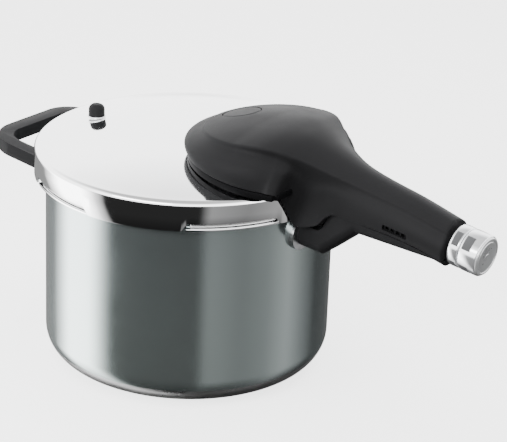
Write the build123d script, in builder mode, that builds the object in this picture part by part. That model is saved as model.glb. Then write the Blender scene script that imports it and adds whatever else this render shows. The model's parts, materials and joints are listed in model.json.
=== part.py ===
"""Stovetop pressure cooker: an enamelled pot with a bayonet lid and a removable control handle.

The origin is the middle of the pot's flat base, +Z is up and the long handles point along +X.
Lengths are millimetres. The cooker is closed, with its handles in line and the knob at "release".
"""

import os
from math import asin, cos, degrees, radians, sin, sqrt, tan

from build123d import *

# ---- Driving sizes: pot ----
pot_radius = 112.5
pot_wall = 2.5
pot_height = 160.0
pot_base = 6.0
pot_corner = 24.0
inner_corner = 18.0
lip_reach = 6.0
lip_thickness = 2.5
hem_depth = 7.2
hem_thickness = 2.5

# ---- Driving sizes: lid and bayonet ----
lid_sheet = 1.5
lid_rise = 11.0
lid_above_lip = 14.0
lid_edge = 4.0
skirt_clearance = 1.3
skirt_drop = 3.7
claw_count = 5
claw_thickness = 1.8
claw_lip_gap = 0.5
claw_undercut = 4.0
lip_gap_angle = 38.0
claw_gap_low_angle = 37.0
claw_gap_high_angle = 32.0
seal_gap = 0.3
seal_width = 11.0

# ---- Driving sizes: long handles ----
head_radius = 66.0
head_shoulder_radius = 59.0
head_from_rim = 41.8
head_tilt = 6.0
crown_tilt = 4.0
crown_height = 30.5
crown_rise = 8.0
crease_radius = 9.0
head_base_thickness = 4.5
cover_wall = 2.6
floor_wall = 2.4
handle_reach = 125.0
seam_gap = 0.7
bolt_from_rim = 8.9
bolt_rest_gap = 1.1
knob_radius = 15.7
knob_length = 16.0
collar_length = 8.5
rod_radius = 3.0
rod_drop = 7.0
running = 0.08
slack = 0.3

# ---- Driving sizes: side handle ----
side_half_width = 52.0
side_reach = 60.0
side_bar = 12.0
side_thickness = 10.5
side_tilt = 6.0

# ---- Driving sizes: valves ----
indicator_radius = 14.6
indicator_travel = 8.0
indicator_from_rim = 73.0
stud_from_rim = 57.8
valve_from_rim = 29.3
safety_radius = 84.0
safety_angle = 192.0
safety_travel = 2.5
valve_hole = 5.0
stud_radius = 3.0

# ---- Sizes worked out from those ----
lip_radius = pot_radius + lip_reach
lid_radius = lip_radius + skirt_clearance + lid_sheet
lid_z = pot_height + lid_above_lip
hem_z = pot_height - hem_depth
claw_z = hem_z - claw_lip_gap - claw_thickness
skirt_z = pot_height - skirt_drop
claw_tip = lip_radius - claw_undercut
dome_edge = lid_radius - lid_edge
dome_curve = (dome_edge**2 + lid_rise**2) / (2 * lid_rise)
claw_pitch = 360 / claw_count

rim_x = lid_radius
head_x = rim_x - head_from_rim
head_z = lid_z + 4.2
indicator_x = rim_x - indicator_from_rim
stud_x = rim_x - stud_from_rim
valve_x = rim_x - valve_from_rim
safety_x = safety_radius * cos(radians(safety_angle))
safety_y = safety_radius * sin(radians(safety_angle))
joint_x = rim_x + handle_reach
joint_z = lid_z - 13.6


def radial_plane(angle):
    """An upright plane through the pot's axis: its x runs outward and its y up."""
    a = radians(angle)
    return Plane(origin=(0, 0, 0), x_dir=(cos(a), sin(a), 0), z_dir=(sin(a), -cos(a), 0))


def facing_plane(angle, distance=0.0):
    """An upright plane square to a radius, looking outward at that distance from the axis."""
    a = radians(angle)
    return Plane(
        origin=(distance * cos(a), distance * sin(a), 0),
        x_dir=(-sin(a), cos(a), 0),
        z_dir=(cos(a), sin(a), 0),
    )


def dome_z(radius, drop=0.0):
    """Height of the lid's outer dome at a radius, less a drop."""
    return lid_z + lid_rise - dome_curve + sqrt(dome_curve**2 - radius**2) - drop


def across_plane(x, z=0.0):
    """A plane square to X: its x runs along +Y and its y up."""
    return Plane(origin=(x, 0, z), x_dir=(0, 1, 0), z_dir=(1, 0, 0))


def rod_plane(along):
    """A plane square to the control rod, its x along +Y and its y up, from the knob's joint."""
    a = radians(rod_drop)
    return Plane(
        origin=(joint_x + along * cos(a), 0, joint_z - along * sin(a)),
        x_dir=(0, 1, 0),
        z_dir=(cos(a), 0, -sin(a)),
    )


base_plane = Plane(
    origin=(head_x, 0, head_z),
    x_dir=(cos(radians(head_tilt)), 0, -sin(radians(head_tilt))),
    z_dir=(sin(radians(head_tilt)), 0, cos(radians(head_tilt))),
)
crown_plane = Plane(
    origin=(head_x, 0, head_z + crown_height),
    x_dir=(cos(radians(crown_tilt)), 0, sin(radians(crown_tilt))),
    z_dir=(0, -1, 0),
)
os.makedirs("parts", exist_ok=True)


def save(name, piece):
    """Labels a finished piece and writes it to its own file."""
    piece.label = name
    export_step(piece, f"parts/{name}.step")


# ==== Pot ====
with BuildPart() as pot_body:
    with BuildSketch(Plane.XZ):
        with BuildLine():
            Line((0, 0), (pot_radius - pot_corner, 0))
            CenterArc((pot_radius - pot_corner, pot_corner), pot_corner, -90, 90)
            Polyline(
                (pot_radius, pot_corner),
                (pot_radius, pot_height - lip_thickness),
                (lip_radius - hem_thickness, pot_height - lip_thickness),
                (lip_radius - hem_thickness, hem_z),
                (lip_radius, hem_z),
                (lip_radius, pot_height),
                (pot_radius - pot_wall, pot_height),
                (pot_radius - pot_wall, pot_base + inner_corner),
            )
            CenterArc(
                (pot_radius - pot_wall - inner_corner, pot_base + inner_corner),
                inner_corner,
                0,
                -90,
            )
            Polyline((pot_radius - pot_wall - inner_corner, pot_base), (0, pot_base), (0, 0))
        make_face()
    revolve(axis=Axis.Z)
    lip_edges = pot_body.edges().filter_by(GeomType.CIRCLE).group_by(Axis.Z)[-1]
    fillet(lip_edges.sort_by(SortBy.RADIUS)[-1:], 1.0)
    # The lip is notched between the bayonet segments so that the lid's claws can drop past it.
    notch_width = lip_reach + 1
    for k in range(claw_count):
        with BuildSketch(radial_plane(claw_pitch * (k + 0.5) - lip_gap_angle / 2)):
            with Locations((pot_radius + 1 + notch_width / 2, hem_z + hem_depth / 2)):
                Rectangle(notch_width, hem_depth + 2)
        revolve(axis=Axis.Z, revolution_arc=lip_gap_angle, mode=Mode.SUBTRACT)
save("pot_body", pot_body.part)

# ==== Lid ====
with BuildPart() as lid_shell:
    inner_r = lid_radius - lid_sheet
    with BuildSketch(Plane.XZ):
        with BuildLine():
            ThreePointArc(
                (0, lid_z + lid_rise),
                (dome_edge / 2, dome_z(dome_edge / 2)),
                (dome_edge, lid_z),
            )
            CenterArc((dome_edge, lid_z - lid_edge), lid_edge, 90, -90)
            Polyline(
                (lid_radius, lid_z - lid_edge),
                (lid_radius, claw_z),
                (claw_tip, claw_z),
                (claw_tip, claw_z + claw_thickness),
                (inner_r, claw_z + claw_thickness),
                (inner_r, lid_z - lid_edge),
            )
            CenterArc((dome_edge, lid_z - lid_edge), lid_edge - lid_sheet, 0, 90)
            ThreePointArc(
                (dome_edge, lid_z - lid_sheet),
                (dome_edge / 2, dome_z(dome_edge / 2, lid_sheet)),
                (0, lid_z + lid_rise - lid_sheet),
            )
            Line((0, lid_z + lid_rise - lid_sheet), (0, lid_z + lid_rise))
        make_face()
    revolve(axis=Axis.Z)
    high_half = lid_radius * sin(radians(claw_gap_high_angle / 2))
    low_half = lid_radius * sin(radians(claw_gap_low_angle / 2))
    for k in range(claw_count):
        with BuildSketch(facing_plane(claw_pitch * (k + 0.5), lid_radius * 0.85)):
            with BuildLine():
                Polyline(
                    (-high_half, skirt_z),
                    (high_half, skirt_z),
                    (low_half, claw_z),
                    (low_half, claw_z - 2),
                    (-low_half, claw_z - 2),
                    (-low_half, claw_z),
                    (-high_half, skirt_z),
                )
            make_face()
        extrude(amount=lid_radius * 0.3, mode=Mode.SUBTRACT)
    with Locations((stud_x, 0, lid_z)):
        Cylinder(stud_radius + 0.2, 60, mode=Mode.SUBTRACT)
    with Locations((indicator_x, 0, lid_z), (valve_x, 0, lid_z), (safety_x, safety_y, lid_z)):
        Cylinder(valve_hole, 60, mode=Mode.SUBTRACT)
save("lid_shell", lid_shell.part)

seal_outer = inner_r - 0.4
seal_inner = seal_outer - seal_width
seal_low = pot_height + seal_gap
seal_high = lid_z - lid_sheet - 0.6
with BuildPart() as sealing_ring:
    with BuildSketch(Plane.XZ):
        with BuildLine():
            Polyline(
                (seal_inner, seal_low),
                (seal_outer, seal_low),
                (seal_outer, seal_high - 3),
                (seal_outer - 2.5, seal_high),
                (seal_inner + 2, seal_high),
                (seal_inner + 2, seal_high - 3),
                (seal_outer - 4, seal_high - 3),
                (seal_outer - 4, seal_low + 2.6),
                (seal_inner, seal_low + 2.6),
                (seal_inner, seal_low),
            )
        make_face()
    revolve(axis=Axis.Z)
save("sealing_ring", sealing_ring.part)


# ==== The seam between the two long handles, a surface of revolution so that the lid can turn ====
seam_low = lid_z - 29.0
seam_flat_end = rim_x + 13.0
seam_peak = (rim_x + 31.0, lid_z - 12.2)
seam_mid = (rim_x + 91.0, lid_z - 16.8)
seam_end = (joint_x + 8.0, lid_z - 25.5)
pot_handle_end = joint_x - 2.6


def seam_curve(shift):
    """Draws the seam from the pot's wall to past the knob's joint, moved up by shift."""
    rise_mid = ((seam_flat_end + seam_peak[0]) / 2, (seam_low + seam_peak[1]) / 2 + shift)
    Line((pot_radius - 5, seam_low + shift), (seam_flat_end, seam_low + shift))
    Spline(
        (seam_flat_end, seam_low + shift),
        rise_mid,
        (seam_peak[0], seam_peak[1] + shift),
        tangents=[(1, 0), (seam_mid[0] - seam_peak[0], seam_mid[1] - seam_peak[1])],
    )
    Polyline(
        (seam_peak[0], seam_peak[1] + shift),
        (seam_mid[0], seam_mid[1] + shift),
        (seam_end[0], seam_end[1] + shift),
    )


with BuildPart() as below_seam:
    with BuildSketch(Plane.XZ):
        with BuildLine():
            seam_curve(seam_gap / 2)
            Polyline(
                (seam_end[0], seam_end[1] + seam_gap / 2),
                (seam_end[0], lid_z - 80),
                (pot_radius - 5, lid_z - 80),
                (pot_radius - 5, seam_low + seam_gap / 2),
            )
        make_face()
    revolve(axis=Axis.Z)
    # The lid handle's end drops in front of the pot handle's tip.
    with BuildSketch(Plane.XZ):
        with Locations(((seam_end[0] + pot_handle_end + seam_gap) / 2 + 10, lid_z - 40)):
            Rectangle(seam_end[0] - pot_handle_end - seam_gap + 20, 100)
    revolve(axis=Axis.Z, mode=Mode.SUBTRACT)

with BuildPart() as above_seam:
    with BuildSketch(Plane.XZ):
        with BuildLine():
            seam_curve(-seam_gap / 2)
            Polyline(
                (seam_end[0], seam_end[1] - seam_gap / 2),
                (seam_end[0], lid_z + 60),
                (pot_radius - 5, lid_z + 60),
                (pot_radius - 5, seam_low - seam_gap / 2),
            )
        make_face()
    revolve(axis=Axis.Z)
    with BuildSketch(Plane.XZ):
        with Locations((pot_handle_end + 30, lid_z - 30)):
            Rectangle(60, 180)
    revolve(axis=Axis.Z)

with BuildPart() as floor_layer:
    with BuildSketch(Plane.XZ):
        with BuildLine():
            seam_curve(seam_gap / 2)
            seam_curve(seam_gap / 2 + floor_wall)
            Line(
                (pot_radius - 5, seam_low + seam_gap / 2),
                (pot_radius - 5, seam_low + seam_gap / 2 + floor_wall),
            )
            Line(
                (seam_end[0], seam_end[1] + seam_gap / 2),
                (seam_end[0], seam_end[1] + seam_gap / 2 + floor_wall),
            )
        make_face()
    revolve(axis=Axis.Z)

# ==== Space that the lid fills, for trimming what stands on it ====
with BuildPart() as lid_space:
    with BuildSketch(Plane.XZ):
        with BuildLine():
            ThreePointArc(
                (0, lid_z + lid_rise + slack),
                (dome_edge / 2, dome_z(dome_edge / 2) + slack),
                (dome_edge, lid_z + slack),
            )
            Polyline(
                (dome_edge, lid_z + slack),
                (lid_radius + slack, lid_z - 1.5),
                (lid_radius + slack, 0),
                (0, 0),
                (0, lid_z + lid_rise + slack),
            )
        make_face()
    revolve(axis=Axis.Z)

front_face = lid_radius + 0.6
with BuildPart() as rim_room:
    Cylinder(front_face, 2 * lid_z)
    split(bisect_by=base_plane, keep=Keep.BOTTOM)
with BuildPart() as rim_room_inside:
    Cylinder(front_face + cover_wall, 2 * lid_z + 60)
    split(bisect_by=base_plane.offset(head_base_thickness), keep=Keep.BOTTOM)

# Lid handle sections: distance past the rim, half-width, top above the lid's edge, corner radius.
neck_lap = 2.0
side_top = 12.0
side_skirt = 14.0
grip_end_top = joint_z + knob_radius + 1.5 - lid_z
grip_sections = [
    (-26.0, 60.0, 40.5, 22.0),
    (-neck_lap, 51.0, 39.5, 20.0),
    (18.0, 33.0, 32.5, 18.0),
    (44.0, 22.5, 23.5, 15.0),
    (handle_reach - 41, 18.6, 14.6, 14.0),
    (handle_reach - 4, knob_radius + 1.7, grip_end_top + 1.6, knob_radius - 0.2),
    (handle_reach + 4, knob_radius + 1.5, grip_end_top, knob_radius + 0.8),
]
grip_low = joint_z - knob_radius - 1.7


def head_and_grip(inset):
    """The head's dome with the grip behind it, its faces moved inward by inset."""
    shoulder = head_shoulder_radius - inset
    side = head_radius - inset
    with BuildPart() as form:
        with BuildSketch(crown_plane) as profile:
            with BuildLine():
                ThreePointArc(
                    (0, crown_rise - inset),
                    (shoulder / 2, 0.75 * crown_rise - inset),
                    (shoulder, -inset),
                )
                Polyline(
                    (shoulder, -inset),
                    (side, side_top - crown_height),
                    (side, -crown_height - side_skirt),
                    (0, -crown_height - side_skirt),
                    (0, crown_rise - inset),
                )
            make_face()
            corner = profile.vertices().sort_by_distance((shoulder, -inset, 0))[0]
            fillet(corner, crease_radius - inset)
        revolve(axis=Axis(crown_plane.origin, crown_plane.y_dir))
        split(bisect_by=base_plane, keep=Keep.TOP)
        split(bisect_by=across_plane(rim_x - neck_lap), keep=Keep.BOTTOM)
        for past_rim, half_width, top, corner in grip_sections:
            high = lid_z + top - inset
            with BuildSketch(across_plane(rim_x + past_rim, (high + grip_low) / 2)):
                RectangleRounded(2 * (half_width - inset), high - grip_low, corner - inset)
        loft()
    return form.part

with BuildPart() as outer_body:
    add(head_and_grip(0))
    split(bisect_by=rod_plane(0), keep=Keep.BOTTOM)
    add(rim_room.part, mode=Mode.SUBTRACT)
    add(below_seam.part, mode=Mode.SUBTRACT)
    add(lid_space.part, mode=Mode.SUBTRACT)

with BuildPart() as inner_body:
    add(head_and_grip(cover_wall))
    split(bisect_by=rod_plane(-3), keep=Keep.BOTTOM)
    add(rim_room_inside.part, mode=Mode.SUBTRACT)

with BuildPart() as base_blank:
    add(outer_body.part)
    split(bisect_by=base_plane, keep=Keep.TOP)
    split(bisect_by=base_plane.offset(head_base_thickness), keep=Keep.BOTTOM)
    split(bisect_by=across_plane(rim_x), keep=Keep.BOTTOM)

with BuildPart() as floor_blank:
    add(outer_body.part)
    add(floor_layer.part, mode=Mode.INTERSECT)
    split(bisect_by=across_plane(pot_handle_end - 1.2), keep=Keep.BOTTOM)


def base_top_z(x):
    """Height of the base plate's top face above a point on the handle's centre line."""
    t = radians(head_tilt)
    return head_z - (x - head_x) * tan(t) + head_base_thickness / cos(t)


# ==== Lid handle: base plate, floor and cover ====
screw_places = [(-40, 30), (-40, -30), (25, 45), (25, -45)]
screw_radius = 1.5
screw_head = 3.0
boss_radius = 4.2
head_recess = 3.3

with BuildPart() as handle_base:
    add(base_blank.part)
    with Locations((indicator_x, 0, head_z), (valve_x, 0, head_z)):
        Cylinder(valve_hole, 40, mode=Mode.SUBTRACT)
    with Locations((stud_x, 0, head_z)):
        Cylinder(stud_radius, 40, mode=Mode.SUBTRACT)
    with BuildSketch(base_plane.offset(-2)):
        with Locations(*screw_places):
            Circle(screw_head + 0.2)
    extrude(amount=2 + head_recess, mode=Mode.SUBTRACT)
    with BuildSketch(base_plane.offset(-2)):
        with Locations(*screw_places):
            Circle(screw_radius + 0.2)
    extrude(amount=20, mode=Mode.SUBTRACT)
save("handle_base", handle_base.part)

with BuildPart() as cover_bosses:
    with BuildSketch(base_plane.offset(head_base_thickness)):
        with Locations(*screw_places):
            Circle(boss_radius)
    extrude(amount=60)
    add(outer_body.part, mode=Mode.INTERSECT)

vent_x = joint_x - 42.6
vent_z = lid_z - 10.8
vent_length = 21.0
vent_height = 4.5
vent_plane = Plane(
    origin=(vent_x, 0, vent_z),
    x_dir=(cos(radians(rod_drop)), 0, -sin(radians(rod_drop))),
    z_dir=(0, -1, 0),
)
with BuildPart() as handle_cover:
    add(outer_body.part)
    add(inner_body.part, mode=Mode.SUBTRACT)
    add(base_blank.part, mode=Mode.SUBTRACT)
    add(floor_blank.part, mode=Mode.SUBTRACT)
    add(cover_bosses.part)
    with BuildSketch(base_plane.offset(head_recess)):
        with Locations(*screw_places):
            Circle(screw_radius)
    extrude(amount=12, mode=Mode.SUBTRACT)
    with Locations((indicator_x, 0, lid_z + 40)):
        Cylinder(indicator_radius + slack, 40, mode=Mode.SUBTRACT)
    with BuildSketch(rod_plane(-10)):
        Circle(rod_radius + 1)
    extrude(amount=20, mode=Mode.SUBTRACT)
    with BuildSketch(vent_plane):
        RectangleRounded(vent_length, vent_height, 1.5)
    extrude(amount=40, mode=Mode.SUBTRACT)
save("handle_cover", handle_cover.part)

with BuildPart() as cover_screws:
    with BuildSketch(base_plane.offset(head_recess - 1.8)):
        with Locations(*screw_places):
            Circle(screw_head)
    extrude(amount=1.8)
    with BuildSketch(base_plane.offset(head_recess)):
        with Locations(*screw_places):
            Circle(screw_radius)
    extrude(amount=11)
save("cover_screws", cover_screws.part)

with BuildPart() as steam_vent:
    vent_skin = grip_sections[4][1]
    with BuildSketch(vent_plane.offset(vent_skin - cover_wall + 0.2)):
        RectangleRounded(vent_length - 0.4, vent_height - 0.4, 1.3)
        with GridLocations(4.6, 0, 4, 1):
            RectangleRounded(3.2, vent_height - 2, 0.6, mode=Mode.SUBTRACT)
    extrude(amount=cover_wall - 1)
save("steam_vent", steam_vent.part)

# ==== Lock bolt: a yoke round the cam on the rod, with a stem below and a fork above ====
cam_throw = 4.0
cam_radius = 7.2
cam_length = 6.0
cam_start = -(handle_reach - bolt_from_rim) / cos(radians(rod_drop))
cam_middle = rod_plane(cam_start + cam_length / 2).origin
bolt_foot_z = seam_low + seam_gap / 2 + bolt_rest_gap
bolt_stem_low = (bolt_foot_z - cam_middle.Z) / cos(radians(rod_drop))
bolt_stem_half = 5.0
fork_pin_up = 17.8
cam_y = -cam_throw * sin(radians(45))
cam_up = cam_throw * sin(radians(45))

with BuildPart() as lock_bolt:
    with BuildSketch(rod_plane(cam_start)):
        with Locations(((-14.2 + 7.4) / 2, (-7.3 + 13.0) / 2)):
            RectangleRounded(21.6, 20.3, 2)
        with Locations((0, (bolt_stem_low - 6) / 2)):
            Rectangle(2 * bolt_stem_half, -bolt_stem_low - 6)
        with Locations((0, 17.4)):
            RectangleRounded(14, 10.8, 1.5)
        with Locations(((-11.6 + 4.8) / 2, (-4.7 + 10.35) / 2)):
            RectangleRounded(16.4, 15.05, 3, mode=Mode.SUBTRACT)
        with Locations((0, fork_pin_up)):
            Rectangle(9.2, 5.0, mode=Mode.SUBTRACT)
    extrude(amount=cam_length)
save("lock_bolt", lock_bolt.part)

with BuildPart() as bolt_cam:
    with BuildSketch(rod_plane(cam_start + 0.3)):
        with Locations((cam_y, cam_up)):
            Circle(cam_radius)
        Circle(rod_radius, mode=Mode.SUBTRACT)
    extrude(amount=cam_length - 0.6)
save("bolt_cam", bolt_cam.part)

with BuildPart() as handle_floor:
    add(floor_blank.part)
    with BuildSketch(rod_plane(cam_start - slack - 0.2)):
        with Locations((0, bolt_stem_low)):
            Rectangle(2 * bolt_stem_half + 2 * slack, 30)
    extrude(amount=cam_length + 2 * slack + 0.4, mode=Mode.SUBTRACT)
save("handle_floor", handle_floor.part)

# ==== Control rod, its bearings and the knob ====
knob_start = collar_length + 0.4
rod_end = knob_start + 9.0
rod_start = cam_start - 0.8
bearing_starts = (cam_start + 26.0, -24.0)
bearing_length = 7.0

with BuildPart() as rod_bearings:
    for start in bearing_starts:
        with BuildSketch(rod_plane(start)):
            with Locations((0, -3.5)):
                Rectangle(12, 18)
            Circle(rod_radius + running, mode=Mode.SUBTRACT)
        extrude(amount=bearing_length)
    add(below_seam.part, mode=Mode.SUBTRACT)
    add(floor_layer.part, mode=Mode.SUBTRACT)
save("rod_bearings", rod_bearings.part)

with BuildPart() as control_rod:
    with BuildSketch(rod_plane(rod_start)):
        Circle(rod_radius)
    extrude(amount=rod_end - rod_start)
    with BuildSketch(rod_plane(rod_end - 8)):
        Circle(1.5)
    extrude(amount=20, mode=Mode.SUBTRACT)
save("control_rod", control_rod.part)

with BuildPart() as rod_clip:
    with BuildSketch(rod_plane(bearing_starts[0] + bearing_length + 0.3)):
        Circle(rod_radius + 2.2)
        Circle(rod_radius, mode=Mode.SUBTRACT)
    extrude(amount=1.0)
save("rod_clip", rod_clip.part)

with BuildPart() as knob_collar:
    with BuildSketch(rod_plane(0)):
        Circle(knob_radius)
        Circle(rod_radius + 0.6, mode=Mode.SUBTRACT)
    extrude(amount=collar_length)
    with BuildSketch(rod_plane(2)):
        Circle(knob_radius - 2)
    extrude(amount=collar_length, mode=Mode.SUBTRACT)
    outer_rims = knob_collar.edges().filter_by(GeomType.CIRCLE).filter_by(
        lambda e: abs(e.radius - knob_radius) < 0.01
    )
    chamfer(outer_rims, 0.4)
save("knob_collar", knob_collar.part)

knob_face_thickness = 1.4
knob_end = knob_start + knob_length
with BuildPart() as knob_grip:
    with BuildSketch(rod_plane(knob_start)):
        Circle(knob_radius)
    extrude(amount=knob_length - knob_face_thickness)
    knob_rims = knob_grip.edges().filter_by(GeomType.CIRCLE)
    chamfer(knob_rims, 0.5)
    with BuildSketch(rod_plane(knob_start)):
        Circle(knob_radius - 2.2)
        Circle(6.5, mode=Mode.SUBTRACT)
    extrude(amount=knob_length - 5, mode=Mode.SUBTRACT)
    with BuildSketch(rod_plane(knob_start)):
        Circle(rod_radius)
    extrude(amount=rod_end - knob_start, mode=Mode.SUBTRACT)
    with BuildSketch(rod_plane(rod_end)):
        Circle(1.6)
    extrude(amount=20, mode=Mode.SUBTRACT)
    with BuildSketch(rod_plane(rod_end + 3)):
        Circle(3.4)
    extrude(amount=20, mode=Mode.SUBTRACT)
save("knob_grip", knob_grip.part)

with BuildPart() as knob_screw:
    with BuildSketch(rod_plane(rod_end - 7.5)):
        Circle(1.5)
    extrude(amount=10.5)
    with BuildSketch(rod_plane(rod_end + 3)):
        Circle(3.2)
    extrude(amount=1.8)
save("knob_screw", knob_screw.part)

with BuildPart() as knob_face:
    with BuildSketch(rod_plane(knob_end - knob_face_thickness)):
        Circle(knob_radius - 1.0)
    extrude(amount=knob_face_thickness)
    chamfer(knob_face.edges().filter_by(GeomType.CIRCLE).sort_by(Axis.X)[-1:], 0.4)
save("knob_face", knob_face.part)

# ==== Preload lever: pulled down by the bolt's fork, it presses the main valve's spring cap ====
fork_point = rod_plane(cam_start + cam_length / 2).from_local_coords((0, fork_pin_up, 0))
pivot_x = rim_x - 45.3
pivot_z = lid_z + 26.2
pivot_pin = 1.5
finger_z = lid_z + 22.5

with BuildPart() as preload_lever:
    with BuildSketch(Plane.XZ):
        with BuildLine():
            Polyline(
                (pivot_x - 3.5, pivot_z),
                (pivot_x, pivot_z + 3),
                (fork_point.X - 1, fork_point.Z + 1.4),
                (fork_point.X - 1, fork_point.Z - 1.4),
                (pivot_x, pivot_z - 3),
                (pivot_x - 3.5, pivot_z),
            )
        make_face()
        with Locations((pivot_x, pivot_z)):
            Circle(4)
        with Locations((valve_x, finger_z)):
            Circle(2.5)
        with Locations((pivot_x, pivot_z)):
            Circle(pivot_pin + running, mode=Mode.SUBTRACT)
    extrude(amount=3, both=True)
    with BuildSketch(Plane.XZ):
        with Locations((fork_point.X, fork_point.Z)):
            Circle(2)
    extrude(amount=4.2, both=True)
save("preload_lever", preload_lever.part)

cheek_inner = 4.0
cheek = 2.2
with BuildPart() as lever_bracket:
    bracket_low = base_top_z(pivot_x - 5)
    with BuildSketch(Plane.XY.offset(bracket_low)):
        with Locations((pivot_x, cheek_inner + cheek / 2), (pivot_x, -cheek_inner - cheek / 2)):
            Rectangle(10, cheek)
    extrude(amount=pivot_z + 4 - bracket_low)
    with BuildSketch(Plane.XY.offset(bracket_low)):
        with Locations((pivot_x, 0)):
            Rectangle(10, 2 * cheek_inner + 2 * cheek)
    extrude(amount=1.5)
    with BuildSketch(Plane.XZ):
        with Locations((pivot_x, pivot_z)):
            Circle(pivot_pin)
    extrude(amount=20, both=True, mode=Mode.SUBTRACT)
save("lever_bracket", lever_bracket.part)

with BuildPart() as lever_pin:
    with BuildSketch(Plane.XZ):
        with Locations((pivot_x, pivot_z)):
            Circle(pivot_pin)
    extrude(amount=cheek_inner + cheek + 0.8, both=True)
save("lever_pin", lever_pin.part)

# ==== Main valve under the lever ====
seat_top = lid_z + 9.6
seat_low = lid_z - 3.0
valve_bore = 2.5
cage_bore = 5.0
spring_wire = 0.4

with BuildPart() as valve_seat:
    with Locations((valve_x, 0, (seat_top + seat_low) / 2)):
        Cylinder(valve_hole, seat_top - seat_low)
    with Locations((valve_x, 0, seat_top - 0.65)):
        Cylinder(7.5, 1.3)
    with Locations((valve_x, 0, seat_top)):
        Cylinder(valve_bore, 60, mode=Mode.SUBTRACT)
save("valve_seat", valve_seat.part)

nut_across = 14.0
nut_thickness = 3.4
valve_nut_top = dome_z(valve_x + nut_across * 0.58, lid_sheet) - 0.1
with BuildPart() as valve_nut:
    with BuildSketch(Plane.XY.offset(valve_nut_top - nut_thickness)):
        with Locations((valve_x, 0)):
            RegularPolygon(nut_across / 2, 6, major_radius=False)
            Circle(valve_hole, mode=Mode.SUBTRACT)
    extrude(amount=nut_thickness)
save("valve_nut", valve_nut.part)

with BuildPart() as valve_cage:
    with BuildSketch(Plane.XY.offset(seat_top)):
        with Locations((valve_x, 0)):
            Circle(7.2)
            Circle(cage_bore, mode=Mode.SUBTRACT)
    extrude(amount=8.2)
    with Locations((valve_x, 0, seat_top + 3.6)):
        Box(20, 4, 4.4, mode=Mode.SUBTRACT)
        Box(4, 20, 4.4, mode=Mode.SUBTRACT)
save("valve_cage", valve_cage.part)

plug_low = seat_top + 0.1
cap_low = seat_top + 7.0
with BuildPart() as valve_plug:
    with BuildSketch(Plane.XZ):
        with BuildLine():
            Polyline(
                (valve_x, plug_low - 1.8),
                (valve_x + valve_bore - 0.9, plug_low - 1.8),
                (valve_x + valve_bore - 0.3, plug_low),
                (valve_x + 4.4, plug_low),
                (valve_x + 4.4, plug_low + 1.5),
                (valve_x + 1.5, plug_low + 1.5),
                (valve_x + 1.5, plug_low + 5.9),
                (valve_x, plug_low + 5.9),
                (valve_x, plug_low - 1.8),
            )
        make_face()
    revolve(axis=Axis((valve_x, 0, 0), (0, 0, 1)))
save("valve_plug", valve_plug.part)

with BuildPart() as preload_cap:
    with Locations((valve_x, 0, cap_low + 1.5)):
        Cylinder(cage_bore - running, 3.0)
    with Locations((valve_x, 0, cap_low + 1.0)):
        Cylinder(1.6, 2.0, mode=Mode.SUBTRACT)
save("preload_cap", preload_cap.part)


def coil(place, low, high, radius, turns):
    """A coil spring on an upright axis at a place, between two heights."""
    height = high - low - 2 * spring_wire
    with BuildPart() as spring:
        with BuildLine():
            path = Helix(height / turns, height, radius, center=(*place, low + spring_wire))
        with BuildSketch(Plane(origin=path @ 0, z_dir=path % 0)):
            Circle(spring_wire)
        sweep()
    return spring.part


save("valve_spring", coil((valve_x, 0), plug_low + 1.55, cap_low - 0.05, 3.1, 3))

# ==== Pressure indicator in the nose of the head ====
stem_radius = 2.5
bush_top = base_top_z(indicator_x) + 2.2
flange_low = bush_top + 0.2
flange_thickness = 1.4
indicator_turns = 4
packed_spring = 2 * spring_wire * indicator_turns
housing_lid = 1.8
housing_top = flange_low + flange_thickness + indicator_travel + packed_spring + housing_lid
cap_base = housing_top + 0.8
indicator_nut_top = dome_z(indicator_x + nut_across * 0.58, lid_sheet) - 0.1

with BuildPart() as indicator_bush:
    bush_low = indicator_nut_top - nut_thickness
    with Locations((indicator_x, 0, (bush_top + bush_low) / 2)):
        Cylinder(valve_hole, bush_top - bush_low)
    with Locations((indicator_x, 0, bush_top - 0.65)):
        Cylinder(8.0, 1.3)
    with Locations((indicator_x, 0, bush_top)):
        Cylinder(stem_radius + running, 60, mode=Mode.SUBTRACT)
save("indicator_bush", indicator_bush.part)

with BuildPart() as indicator_nut:
    with BuildSketch(Plane.XY.offset(indicator_nut_top - nut_thickness)):
        with Locations((indicator_x, 0)):
            RegularPolygon(nut_across / 2, 6, major_radius=False)
            Circle(valve_hole, mode=Mode.SUBTRACT)
    extrude(amount=nut_thickness)
save("indicator_nut", indicator_nut.part)

membrane_top = indicator_nut_top - nut_thickness
with BuildPart() as indicator_membrane:
    with Locations((indicator_x, 0, membrane_top - 1.8)):
        Cylinder(7.6, 3.6)
    with Locations((indicator_x, 0, membrane_top - 1.2)):
        Cylinder(5.2, 2.4, mode=Mode.SUBTRACT)
save("indicator_membrane", indicator_membrane.part)

with BuildPart() as indicator_housing:
    with Locations((indicator_x, 0, (housing_top + bush_top) / 2)):
        Cylinder(8.0, housing_top - bush_top)
    with Locations((indicator_x, 0, (housing_top - housing_lid + bush_top) / 2)):
        Cylinder(6.6, housing_top - housing_lid - bush_top, mode=Mode.SUBTRACT)
    with Locations((indicator_x, 0, housing_top)):
        Cylinder(stem_radius + running, 20, mode=Mode.SUBTRACT)
save("indicator_housing", indicator_housing.part)

stem_low = membrane_top - 2.1
with BuildPart() as indicator_stem:
    with Locations((indicator_x, 0, (cap_base + 3 + stem_low) / 2)):
        Cylinder(stem_radius, cap_base + 3 - stem_low)
    with Locations((indicator_x, 0, flange_low + flange_thickness / 2)):
        Cylinder(6.1, flange_thickness)
save("indicator_stem", indicator_stem.part)

spring_low = flange_low + flange_thickness + 0.05
spring_high = housing_top - housing_lid - 0.05
save("indicator_spring", coil((indicator_x, 0), spring_low, spring_high, 4.6, indicator_turns))

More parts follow.
